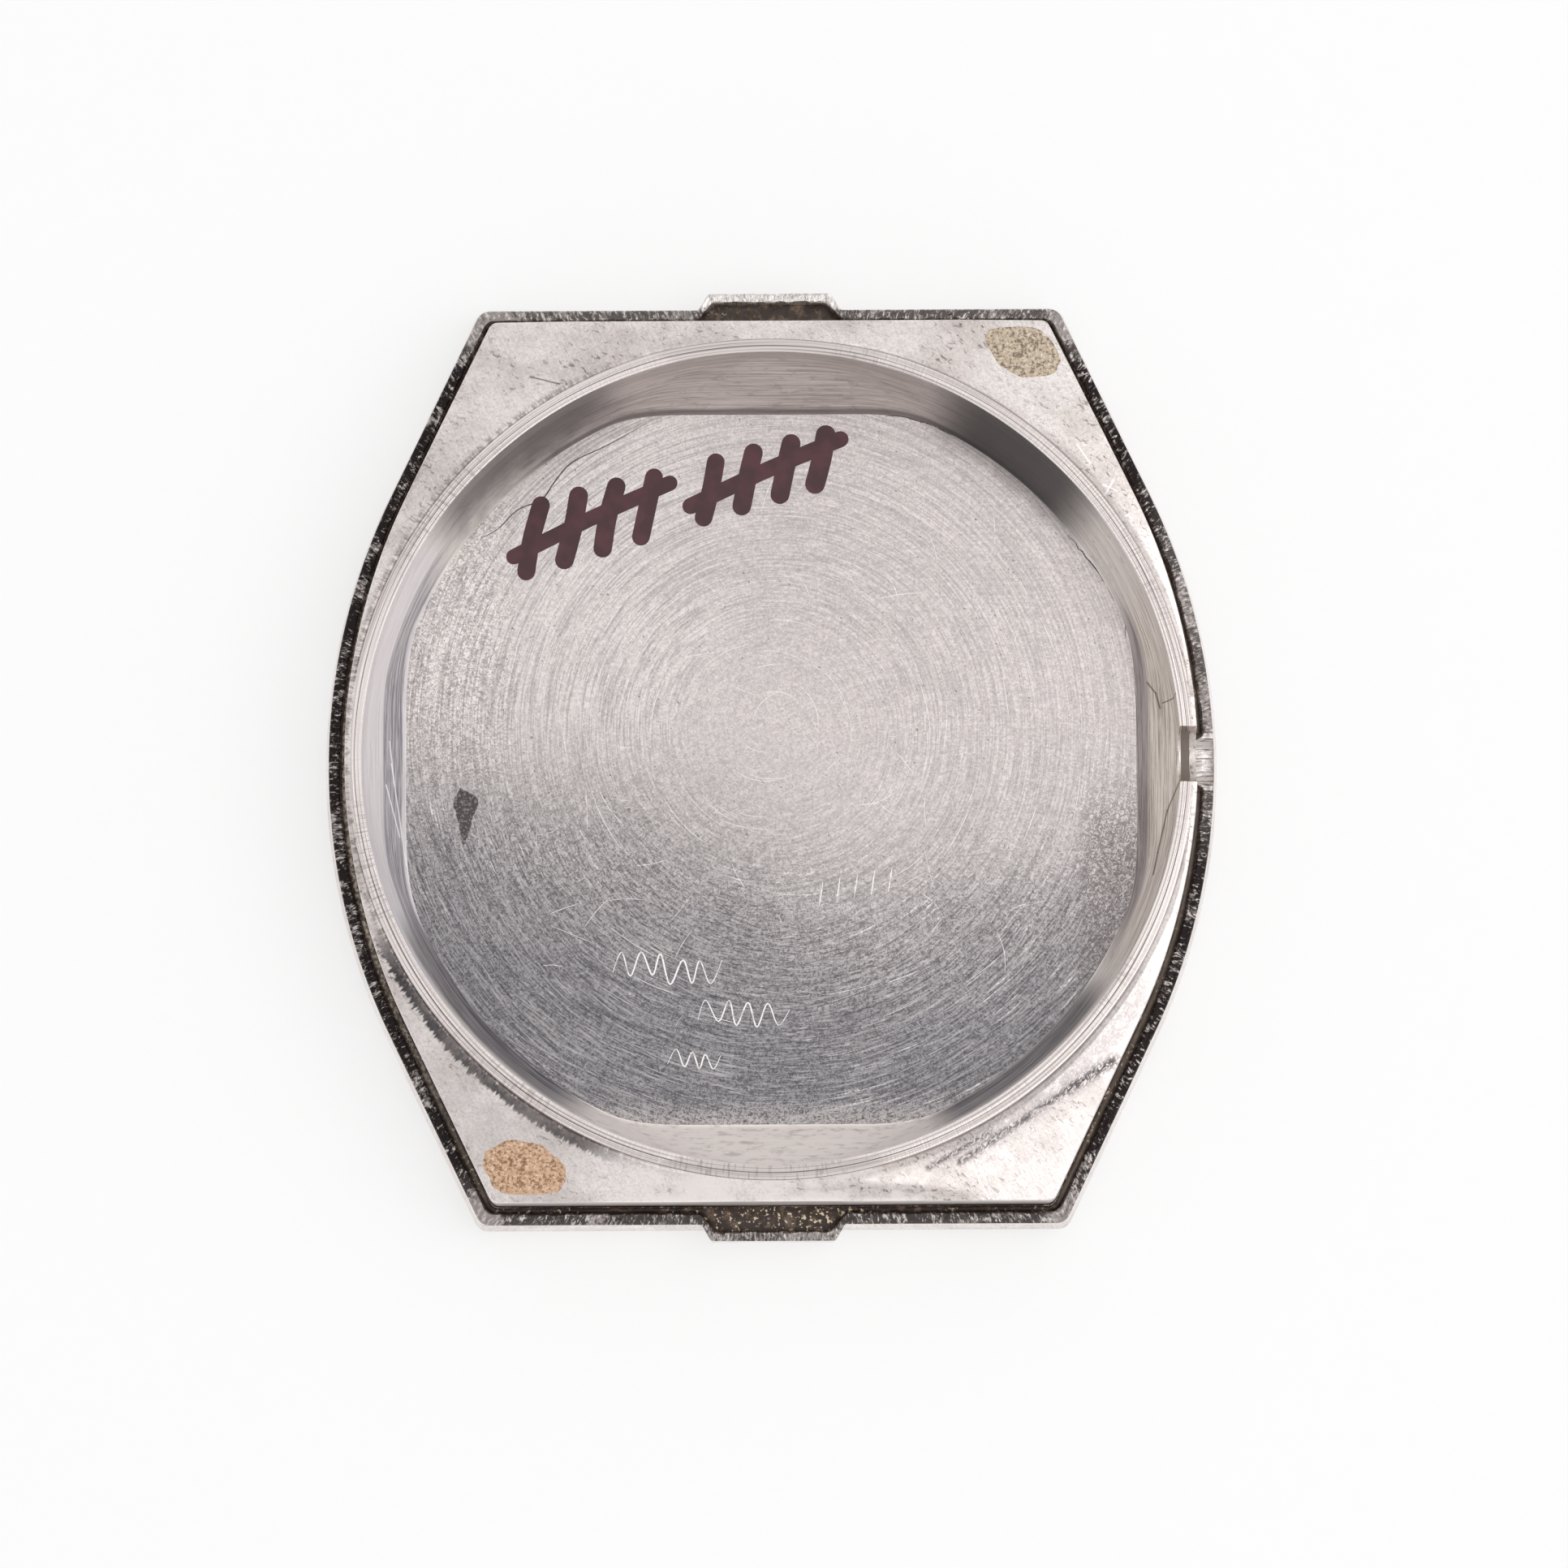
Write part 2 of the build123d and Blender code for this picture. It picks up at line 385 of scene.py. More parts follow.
class Painter:
    """Builds one material's nodes; every length given to it is in millimetres."""

    def __init__(self, name: str) -> None:
        """Start an empty material with its shader and the row frame's coordinates."""
        self.material = bpy.data.materials.new(name)
        self.material.use_nodes = True
        self.tree = self.material.node_tree
        self.tree.nodes.clear()
        self.shader = add_node(self.tree, "ShaderNodeBsdfPrincipled")
        add_node(self.tree, "ShaderNodeOutputMaterial", {"Surface": self.shader.outputs[0]})
        place = add_node(self.tree, "ShaderNodeTexCoord").outputs["Object"]
        scaled = add_node(
            self.tree, "ShaderNodeVectorMath", {0: place, "Scale": 1 / MM}, operation="SCALE"
        )
        self.place = scaled.outputs[0]
        split = add_node(self.tree, "ShaderNodeSeparateXYZ", {0: self.place})
        self.x, self.y, self.z = split.outputs

    def math(self, operation: str, *values: object, clamp: bool = False) -> Socket:
        """Work out one number from sockets or plain numbers."""
        inputs = dict(enumerate(values))
        made = add_node(self.tree, "ShaderNodeMath", inputs, operation=operation, use_clamp=clamp)
        return made.outputs[0]

    def dot(self, dx: Socket, dy: Socket, x: object, y: object) -> Socket:
        """Multiply two flat vectors: dx times x, plus dy times y."""
        return self.math("ADD", self.math("MULTIPLY", dx, x), self.math("MULTIPLY", dy, y))

    def length(self, dx: Socket, dy: Socket) -> Socket:
        """Length of a flat vector."""
        return self.math("SQRT", self.dot(dx, dy, dx, dy))

    def swing(self, value: Socket, reach: float) -> Socket:
        """Turn a value from 0 to 1 into one that swings by half of reach to both sides of 0."""
        return self.math("MULTIPLY", self.math("SUBTRACT", value, 0.5), reach)

    def ramp(self, value: object, low: float, high: float, start: float = 0.0, end: float = 1.0) -> Socket:
        """Go smoothly from start to end while the value goes from low to high."""
        inputs = {"Value": value, "From Min": low, "From Max": high, "To Min": start, "To Max": end}
        made = add_node(self.tree, "ShaderNodeMapRange", inputs, interpolation_type="SMOOTHSTEP")
        return made.outputs[0]

    def polar(self, centre: tuple[float, float] = (0.0, 0.0)) -> tuple[Socket, Socket, Socket]:
        """Distance from an upright axis, and the two parts of the direction from it.

        Args:
            centre: where the axis stands.

        Returns:
            The distance, and the direction's X and Y.
        """
        dx = self.math("SUBTRACT", self.x, centre[0])
        dy = self.math("SUBTRACT", self.y, centre[1])
        radius = self.math("MAXIMUM", self.length(dx, dy), 0.01)
        return radius, self.math("DIVIDE", dx, radius), self.math("DIVIDE", dy, radius)

    def arcs(self, across: float, turns: float, centre: tuple[float, float] = (0.0, 0.0)) -> Socket:
        """Coordinates for a pattern drawn out along circles, with no seam.

        Args:
            across: width of one line of the pattern.
            turns: how many times the pattern changes over one radian.
            centre: the circles' centre.

        Returns:
            A vector for a noise of scale 1.
        """
        radius, c, s = self.polar(centre)
        inputs = {
            0: self.math("MULTIPLY", c, turns),
            1: self.math("MULTIPLY", s, turns),
            2: self.math("DIVIDE", radius, across),
        }
        return add_node(self.tree, "ShaderNodeCombineXYZ", inputs).outputs[0]

    def stretched(self, x: float, y: float, z: float = 1.0, turn: float = 0.0) -> Socket:
        """Coordinates for a pattern with the given lengths along X, Y and Z.

        Args:
            x: length of one mark along X, after the turn.
            y: length of one mark along Y, after the turn.
            z: length of one mark along Z.
            turn: degrees that the pattern is turned by about Z.

        Returns:
            A vector for a noise of scale 1.
        """
        turned = add_node(
            self.tree, "ShaderNodeVectorRotate", {"Vector": self.place, "Angle": math.radians(turn)}
        ).outputs[0]
        scale = (1 / x, 1 / y, 1 / z)
        return add_node(
            self.tree, "ShaderNodeVectorMath", {0: turned, 1: scale}, operation="MULTIPLY"
        ).outputs[0]

    def noise(self, vector: Socket, detail: float = 2.0, rough: float = 0.5, bend: float = 0.0) -> Socket:
        """Cloudy value from 0 to 1 along the given coordinates."""
        inputs = {"Vector": vector, "Scale": 1.0, "Detail": detail, "Roughness": rough, "Distortion": bend}
        return add_node(self.tree, "ShaderNodeTexNoise", inputs).outputs["Fac"]

    def layer(self, under: object, over: object, share: object, blend: Blend = Blend.COVER) -> Socket:
        """Lay one colour over another.

        Args:
            under: colour below.
            over: colour on top.
            share: how much of the top shows, from 0 to 1.
            blend: how it is laid.

        Returns:
            The mixed colour.
        """
        values = {0: share, 6: under, 7: over}
        made = add_node(self.tree, "ShaderNodeMix", values, data_type="RGBA", blend_type=blend.value)
        return made.outputs[2]

    def band(self, value: object, low: float, high: float, soft: float) -> Socket:
        """Mask the values between two limits.

        Args:
            value: what is tested.
            low: lower limit.
            high: upper limit.
            soft: distance over which the mask fades out beyond each limit.

        Returns:
            A mask from 0 to 1.
        """
        rise = self.ramp(value, low - soft, low)
        fall = self.ramp(value, high + soft, high)
        return self.math("MULTIPLY", rise, fall)

    def sector(self, middle: float, half: float, soft: float) -> Socket:
        """Mask a range of directions round the axis.

        Args:
            middle: the range's middle, in degrees from +X.
            half: half of the range, in degrees.
            soft: degrees over which the mask fades out beyond it.

        Returns:
            A mask from 0 to 1.
        """
        _, c, s = self.polar()
        turn = math.radians(middle)
        facing = self.dot(c, s, math.cos(turn), math.sin(turn))
        return self.ramp(facing, math.cos(math.radians(half + soft)), math.cos(math.radians(half)))

    def masks(self, *shares: object) -> Socket:
        """Multiply masks together.

        Args:
            shares: sockets or plain numbers, from 0 to 1.

        Returns:
            Their product.
        """
        out = shares[0]
        for share in shares[1:]:
            out = self.math("MULTIPLY", out, share)
        return out

    def mixed(self, first: str, second: str, share: object) -> Socket:
        """Go from one hex colour to another by the share."""
        return self.layer(linear(first), linear(second), share)

    def tint(self, under: object, colour: str, *shares: object) -> Socket:
        """Lay a hex colour over another colour, where all the shares allow it."""
        return self.layer(under, linear(colour), self.masks(*shares))

    def line(self, start: tuple[float, float], end: tuple[float, float], width: float) -> Socket:
        """Mask a straight stroke on the plan.

        Args:
            start: one end, along X and Y.
            end: the other end.
            width: the stroke's width, beyond which the mask is 0.

        Returns:
            A mask from 0 to 1.
        """
        along = Vector((end[0] - start[0], end[1] - start[1]))
        length = along.length
        along.normalize()
        dx = self.math("SUBTRACT", self.x, start[0])
        dy = self.math("SUBTRACT", self.y, start[1])
        t = self.dot(dx, dy, along.x, along.y)
        t = self.math("MINIMUM", self.math("MAXIMUM", t, 0.0), length)
        ex = self.math("SUBTRACT", dx, self.math("MULTIPLY", t, along.x))
        ey = self.math("SUBTRACT", dy, self.math("MULTIPLY", t, along.y))
        return self.ramp(self.length(ex, ey), width / 2, 0.0)

    def finish(
        self, colour: Socket, roughness: object, metallic: float, height: Optional[Socket], depth: float
    ) -> bpy.types.Material:
        """Connect the shader.

        Args:
            colour: base colour.
            roughness: a socket or a plain number.
            metallic: 1 for bare metal, less where dirt or varnish dulls it, 0 for everything else.
            height: relief from 0 to 1, or None.
            depth: real depth of that relief.

        Returns:
            The finished material.
        """
        self.tree.links.new(colour, self.shader.inputs["Base Color"])
        if isinstance(roughness, bpy.types.NodeSocket):
            self.tree.links.new(roughness, self.shader.inputs["Roughness"])
        else:
            self.shader.inputs["Roughness"].default_value = roughness
        self.shader.inputs["Metallic"].default_value = metallic
        if height is not None:
            values = {"Height": height, "Strength": 1.0, "Distance": depth * MM}
            bump = add_node(self.tree, "ShaderNodeBump", values)
            self.tree.links.new(bump.outputs[0], self.shader.inputs["Normal"])
        return self.material


# ---------------------------------------------------------------- finishes


def upper_corner_shade(p: Painter) -> Socket:
    """Mask of the painted shade in the well's two upper corners.

    Args:
        p: painter of the material that shows the shade.

    Returns:
        A mask from 0 to 1.
    """
    radius, _, _ = p.polar()
    mottle = p.noise(p.stretched(1.3, 1.0, 1.0), 3.0, 0.6)
    reach = p.math("ADD", radius, p.swing(mottle, 0.7))
    right = p.masks(p.ramp(reach, 11.5, 12.2), p.sector(51, 6, 11))
    left = p.masks(p.ramp(reach, 11.8, 12.7), p.sector(129, 10, 10), 0.85)
    return p.math("MAXIMUM", right, left)


@dataclass(frozen=True)
class CircularBrushedSteel:
    """Stainless steel sheet, brushed in circles by a spinning pad."""

    clean: str = "#d6cdcb"
    # grey of the painted dark reflection on the lower third
    reflection_grey: str = "#8f8c8f"
    swirl_centre: tuple[float, float] = (0.1, 1.2)
    hairline: float = 0.07
    arc_turns: float = 3.0

    def material(self) -> bpy.types.Material:
        """Concentric hairlines glint, and the lower third is darkened by a painted dark reflection."""
        p = Painter("stainless_steel_circular_brushed")
        radius, _, _ = p.polar(self.swirl_centre)
        off_centre = p.ramp(radius, 0.8, 5.0)
        broad = p.noise(p.stretched(7.0, 5.0, 5.0), 3.0, 0.55)
        fine = p.noise(p.arcs(self.hairline, self.arc_turns, self.swirl_centre), 4.0, 0.75)
        second = p.noise(p.arcs(self.hairline * 1.4, self.arc_turns, (7.0, -15.0)), 3.0, 0.7)
        # painted dark reflection, reaching in from 6 o'clock, less in the middle
        sideways = p.math("MULTIPLY", p.math("ABSOLUTE", p.math("SUBTRACT", p.x, 3.4)), -0.25)
        level = p.math("ADD", p.y, sideways)
        level = p.math("ADD", level, p.swing(broad, 3.2))
        dark_reflection = p.ramp(level, 0.8, -10.5)
        base = p.mixed(self.clean, self.reflection_grey, dark_reflection)
        # scratches of the brushing pad, in two overlapping swirls
        streak = p.ramp(fine, 0.33, 0.68, 0.76, 1.14)
        base = p.layer(base, streak, p.math("MULTIPLY", off_centre, 0.9), Blend.DARKEN)
        base = p.layer(base, p.ramp(second, 0.36, 0.66, 0.95, 1.03), 1.0, Blend.DARKEN)
        # painted highlight: patches of glinting hairlines on the brushing
        glints = p.ramp(p.noise(p.arcs(0.055, 7.0, self.swirl_centre), 2.0, 0.6), 0.60, 0.71)
        highlight_fan = p.ramp(p.noise(p.stretched(3.0, 4.0, 4.0), 2.0, 0.5), 0.40, 0.62)
        highlight_fan = p.masks(glints, highlight_fan, off_centre, p.ramp(dark_reflection, 0.0, 0.6, 0.30, 0.62))
        base = p.tint(base, "#f6f2f0", highlight_fan)
        rubbed = p.masks(p.ramp(p.x, 0.0, -5.0), p.ramp(p.y, -1.5, 3.0), 0.8)
        base = p.tint(base, "#e9e1de", rubbed, p.ramp(streak, 0.80, 1.05))
        # crooked grain of the sheet, coarser than life so that it shows
        grain = p.noise(p.stretched(0.11, 0.11, 0.11), 2.0, 0.75, 1.3)
        coarse = p.ramp(dark_reflection, 0.05, 0.70, 0.34, 0.95)
        coarse = p.math("MAXIMUM", coarse, p.ramp(p.x, -6.5, -9.5, 0.0, 0.75))
        base = p.layer(base, p.ramp(grain, 0.36, 0.64, 0.50, 1.38), coarse, Blend.DARKEN)
        # hair-fine swirls of bright and dark, in the darker lower part
        for centre, turns in (((-0.8, 2.2), 5.0), ((1.4, 1.0), 6.0), ((0.2, -0.6), 8.0)):
            swirl = p.noise(p.arcs(0.05, turns, centre), 2.0, 0.6)
            share = p.masks(p.ramp(swirl, 0.59, 0.66), p.ramp(dark_reflection, 0.20, 0.75, 0.0, 0.45))
            base = p.tint(base, "#c9c4c4", share)
            share = p.masks(p.ramp(swirl, 0.41, 0.35), p.ramp(dark_reflection, 0.20, 0.75, 0.0, 0.5))
            base = p.tint(base, "#55515a", share)
        specks = p.ramp(p.noise(p.stretched(0.16, 0.11, 0.12, 40), 1.0, 0.5), 0.725, 0.775)
        base = p.tint(base, "#5b5353", specks, 0.6)
        worn_edge = p.masks(p.ramp(p.x, 9.4, 10.4), p.ramp(p.y, 1.0, -3.0), p.ramp(p.y, -9.5, -7.0))
        base = p.tint(base, "#7d7472", worn_edge, p.ramp(grain, 0.60, 0.44), 0.75)
        # painted shade in the two upper corners
        base = p.tint(base, "#5a5453", upper_corner_shade(p), 0.45)
        base = p.tint(base, "#d2c9c5", p.ramp(p.y, -10.4, -11.3), p.ramp(grain, 0.35, 0.60), 0.6)
        rough = p.ramp(dark_reflection, 0.0, 1.0, 0.33, 0.42)
        relief = p.math("ADD", fine, p.math("MULTIPLY", grain, 0.5))
        return p.finish(base, rough, 1.0, relief, 0.0022)


@dataclass(frozen=True)
class PolishedSteel:
    """Stainless steel worked by hand, pitted and scratched by wear."""

    name: str
    clean: str = "#f8f0ed"
    worn: str = "#ddd3cf"
    pits: str = "#6f6562"
    roughness: float = 0.24
    metallic: float = 1.0
    pit_size: float = 0.12
    pit_share: float = 0.75

    def base(self, p: Painter) -> tuple[Socket, Socket, Socket]:
        """Lay cloudy wear, worm-like pits and fine scratches.

        Args:
            p: the material's painter.

        Returns:
            Colour, roughness and relief.
        """
        cloud = p.noise(p.stretched(3.0, 2.4, 2.0), 4.0, 0.62)
        base = p.mixed(self.clean, self.worn, p.ramp(cloud, 0.38, 0.64))
        worms = p.noise(p.stretched(self.pit_size * 2.2, self.pit_size, self.pit_size, 35.0), 3.0, 0.62, 0.8)
        marks = p.math("MULTIPLY", p.ramp(worms, 0.585, 0.64), self.pit_share)
        base = p.tint(base, self.pits, marks, p.ramp(cloud, 0.40, 0.62, 0.30, 0.95))
        hairs = p.noise(p.stretched(0.07, 1.6, 1.0, -24.0), 2.0, 0.65)
        base = p.layer(base, p.ramp(hairs, 0.32, 0.70, 0.94, 1.03), 1.0, Blend.DARKEN)
        grain = p.noise(p.stretched(0.09, 0.09, 0.09), 2.0, 0.8)
        base = p.layer(base, p.ramp(grain, 0.32, 0.66, 0.86, 1.07), 1.0, Blend.DARKEN)
        rough = p.ramp(cloud, 0.3, 0.7, self.roughness - 0.04, self.roughness + 0.10)
        relief = p.math("ADD", worms, p.math("MULTIPLY", hairs, 0.4))
        return base, rough, relief

    def material(self) -> bpy.types.Material:
        """Pale satin steel with dark pits and faint cloudy wear."""
        p = Painter(self.name)
        base, rough, relief = self.base(p)
        return p.finish(base, rough, self.metallic, relief, 0.004)


@dataclass(frozen=True)
class HandFinishedSteel(PolishedSteel):
    """The frame's face: hand-finished steel, with painted shade in its hollow."""

    streak: str = "#26252c"
    hair_turns: float = 95.0

    def material(self) -> bpy.types.Material:
        """Pale satin steel whose hollow keeps furry dark streaks of painted shade at 7 and 5 o'clock."""
        p = Painter(self.name)
        base, rough, relief = self.base(p)
        radius, _, _ = p.polar()
        hairs = p.noise(p.arcs(0.8, self.hair_turns), 3.0, 0.7)
        ragged = p.math("ADD", radius, p.swing(hairs, 0.62))
        # furry dark streaks in the hollow: painted shade
        lower_left = p.masks(p.band(ragged, 13.38, 13.62, 0.12), p.sector(226, 15, 10))
        base = p.tint(base, self.streak, lower_left, 0.95)
        faint = p.masks(p.band(ragged, 13.36, 13.50, 0.10), p.sector(180, 60, 20), p.ramp(hairs, 0.40, 0.60))
        base = p.tint(base, "#8d8380", faint, 0.7)
        # painted shade on the lower right face, where the lamp's reflection is strongest, and a painted
        # highlight in the middle of the lower end
        cloud = p.noise(p.stretched(1.4, 1.1, 1.2), 4.0, 0.65)
        glare_shade = p.masks(p.ramp(p.x, 5.0, 9.0), p.ramp(p.y, -2.0, -8.0), p.ramp(cloud, 0.34, 0.60, 0.45, 1.0))
        base = p.tint(base, "#c9c1bf", glare_shade, 0.55)
        # painted shade on the lower left corner face
        clouded = p.ramp(cloud, 0.36, 0.60, 0.3, 1.0)
        corner = p.masks(p.ramp(p.x, -4.0, -8.0), p.ramp(p.y, -6.0, -10.0), clouded)
        base = p.tint(base, "#bdb3b1", corner, 0.40)
        # painted highlight in the middle of the lower end
        rubbed = p.masks(p.band(p.x, -3.5, 4.5, 2.0), p.ramp(p.y, -12.6, -13.4), p.ramp(cloud, 0.62, 0.42))
        base = p.tint(base, "#fdf5f2", rubbed, 0.8)
        # a fuzzy patch of painted shade in the hollow at 5 o'clock
        fuzz = p.noise(p.stretched(0.10, 0.22, 0.2, 33), 3.0, 0.7, 1.2)
        fuzzy = p.ramp(fuzz, 0.34, 0.60, 0.25, 1.0)
        hollow_shade = p.masks(p.band(ragged, 13.55, 13.95, 0.35), p.sector(311, 13, 9), fuzzy)
        base = p.tint(base, "#8f888a", hollow_shade, 0.50)
        # ragged dark strokes by the hollow: painted shade
        for start, end, width, share in (
            ((4.85, -12.95), (6.75, -11.85), 0.34, 0.80),
            ((5.85, -12.75), (10.6, -9.62), 0.40, 0.85),
            ((9.3, -10.50), (10.7, -9.62), 0.75, 0.80),
            ((-12.2, 7.6), (-10.7, 9.6), 0.55, 0.35),
        ):
            ragged_shade = p.masks(p.line(start, end, width), p.ramp(fuzz, 0.36, 0.56))
            base = p.tint(base, "#4a4547", ragged_shade, share)
        for start, end, colour in (
            ((-7.55, 12.15), (-6.65, 11.9), "#5a5250"),
            ((10.55, 8.25), (10.85, 8.75), "#ffffff"),
            ((10.5, 8.6), (10.95, 8.4), "#ffffff"),
            ((9.7, 9.9), (10.1, 9.3), "#ffffff"),
        ):
            base = p.tint(base, colour, p.line(start, end, 0.09), 0.8)
        return p.finish(base, rough, self.metallic, relief, 0.005)


@dataclass(frozen=True)
class TurnedSteel:
    """Stainless steel turned in a lathe, with the tool's chatter across the cut."""

    name: str = "stainless_steel_turned"
    clean: str = "#efe6e3"
    feed: float = 0.05
    chatter_turns: float = 130.0
    lines: tuple[tuple[float, float], ...] = ((12.95, 0.35), (13.08, 0.75), (13.20, 0.30), (13.31, 0.85))

    def material(self) -> bpy.types.Material:
        """Fine rings from the tool's feed, crossed by short radial chatter marks."""
        p = Painter(self.name)
        radius, _, _ = p.polar()
        feed = p.noise(p.arcs(self.feed, 1.5), 2.0, 0.7)
        chatter = p.noise(p.arcs(0.7, self.chatter_turns), 2.0, 0.7)
        patches = p.noise(p.arcs(4.0, 2.2), 1.0, 0.5)
        base = p.mixed(self.clean, "#a59b98", p.ramp(feed, 0.45, 0.66, 0.0, 0.65))
        ticks = p.masks(p.ramp(chatter, 0.50, 0.64), p.ramp(patches, 0.40, 0.60), 0.5)
        base = p.tint(base, "#9b918e", ticks)
        # dark lines at the steps' edges: painted shade and dirt in the corners
        for line_radius, share in self.lines:
            away = p.math("ABSOLUTE", p.math("SUBTRACT", radius, line_radius))
            groove = p.masks(p.ramp(away, 0.030, 0.006), p.ramp(feed, 0.30, 0.50, 0.35, 1.0), share)
            base = p.tint(base, "#574f4d", groove)
        height = p.math("ADD", feed, p.math("MULTIPLY", chatter, 0.6))
        return p.finish(base, 0.22, 1.0, height, 0.008)


@dataclass(frozen=True)
class ShearedSteel:
    """Sheared and filed edge of the pressed steel, blackened in its teeth."""

    clean: str = "#d2cbc8"
    worn: str = "#9a928f"
    soot: str = "#2c2625"
    teeth_per_radian: float = 150.0

    def material(self) -> bpy.types.Material:
        """Grey teeth across the edge glint out of the black dirt between them."""
        p = Painter("stainless_steel_sheared_edge")
        teeth = p.noise(p.arcs(0.22, self.teeth_per_radian), 3.0, 0.75, 0.4)
        patches = p.noise(p.stretched(1.6, 1.2, 2.0), 3.0, 0.6)
        # rubbed brighter at the ends and towards 3 o'clock, and brightest on the upper tab
        ends = p.math("ADD", p.ramp(p.y, 12.5, 13.8, 0.0, 0.20), p.ramp(p.y, -12.5, -13.8, 0.0, 0.12))
        tabs = p.math("ADD", p.ramp(p.y, 14.55, 14.75, 0.0, 0.9), p.ramp(p.y, -14.55, -14.75, 0.0, 0.35))
        side = p.masks(p.ramp(p.x, 11.6, 13.4, 0.0, 0.30), p.ramp(p.y, -4.0, 0.5))
        bared = p.math("ADD", ends, p.math("ADD", tabs, side))
        worn = p.math("ADD", p.ramp(patches, 0.40, 0.66, -0.12, 0.36), bared)
        for x, y, reach in ((-9.1, 14.1, 1.3), (-9.15, -14.1, 1.0), (9.15, -14.1, 1.1), (9.2, 14.1, 0.8)):
            dx, dy = p.math("SUBTRACT", p.x, x), p.math("SUBTRACT", p.y, y)
            away = p.length(dx, dy)
            worn = p.math("ADD", worn, p.ramp(away, reach, reach * 0.3, 0.0, 0.6))
        level = p.math("ADD", p.math("SUBTRACT", teeth, 0.5), p.math("MULTIPLY", worn, 0.34))
        rubbed = p.ramp(level, 0.02, 0.20)
        bright = p.mixed(self.worn, self.clean, p.ramp(teeth, 0.52, 0.66))
        thin = p.math("ADD", p.math("MULTIPLY", ends, 3.4), p.math("MULTIPLY", side, 2.4))
        soot = p.mixed(self.soot, "#77706d", p.math("MINIMUM", thin, 0.85))
        soot = p.tint(soot, "#6d5d52", p.ramp(p.z, 1.70, 1.62))
        base = p.layer(soot, bright, rubbed)
        tab = p.masks(p.ramp(p.y, 14.50, 14.66), p.ramp(teeth, 0.38, 0.54, 0.25, 0.85))
        base = p.tint(base, "#f3edea", tab)
        # the filed gap is bare bright metal with file marks across it
        filed = p.masks(p.ramp(p.x, 13.0, 13.05), p.ramp(p.math("ABSOLUTE", p.y), 0.93, 0.86))
        marks = p.noise(p.stretched(0.8, 0.07, 0.6), 3.0, 0.7)
        bare = p.mixed("#e9e2df", "#8a817e", p.ramp(marks, 0.48, 0.62))
        base = p.layer(base, bare, filed)
        rubbed = p.math("MAXIMUM", rubbed, filed)
        rough = p.ramp(rubbed, 0.0, 1.0, 0.55, 0.28)
        return p.finish(base, rough, 0.85, teeth, 0.03)


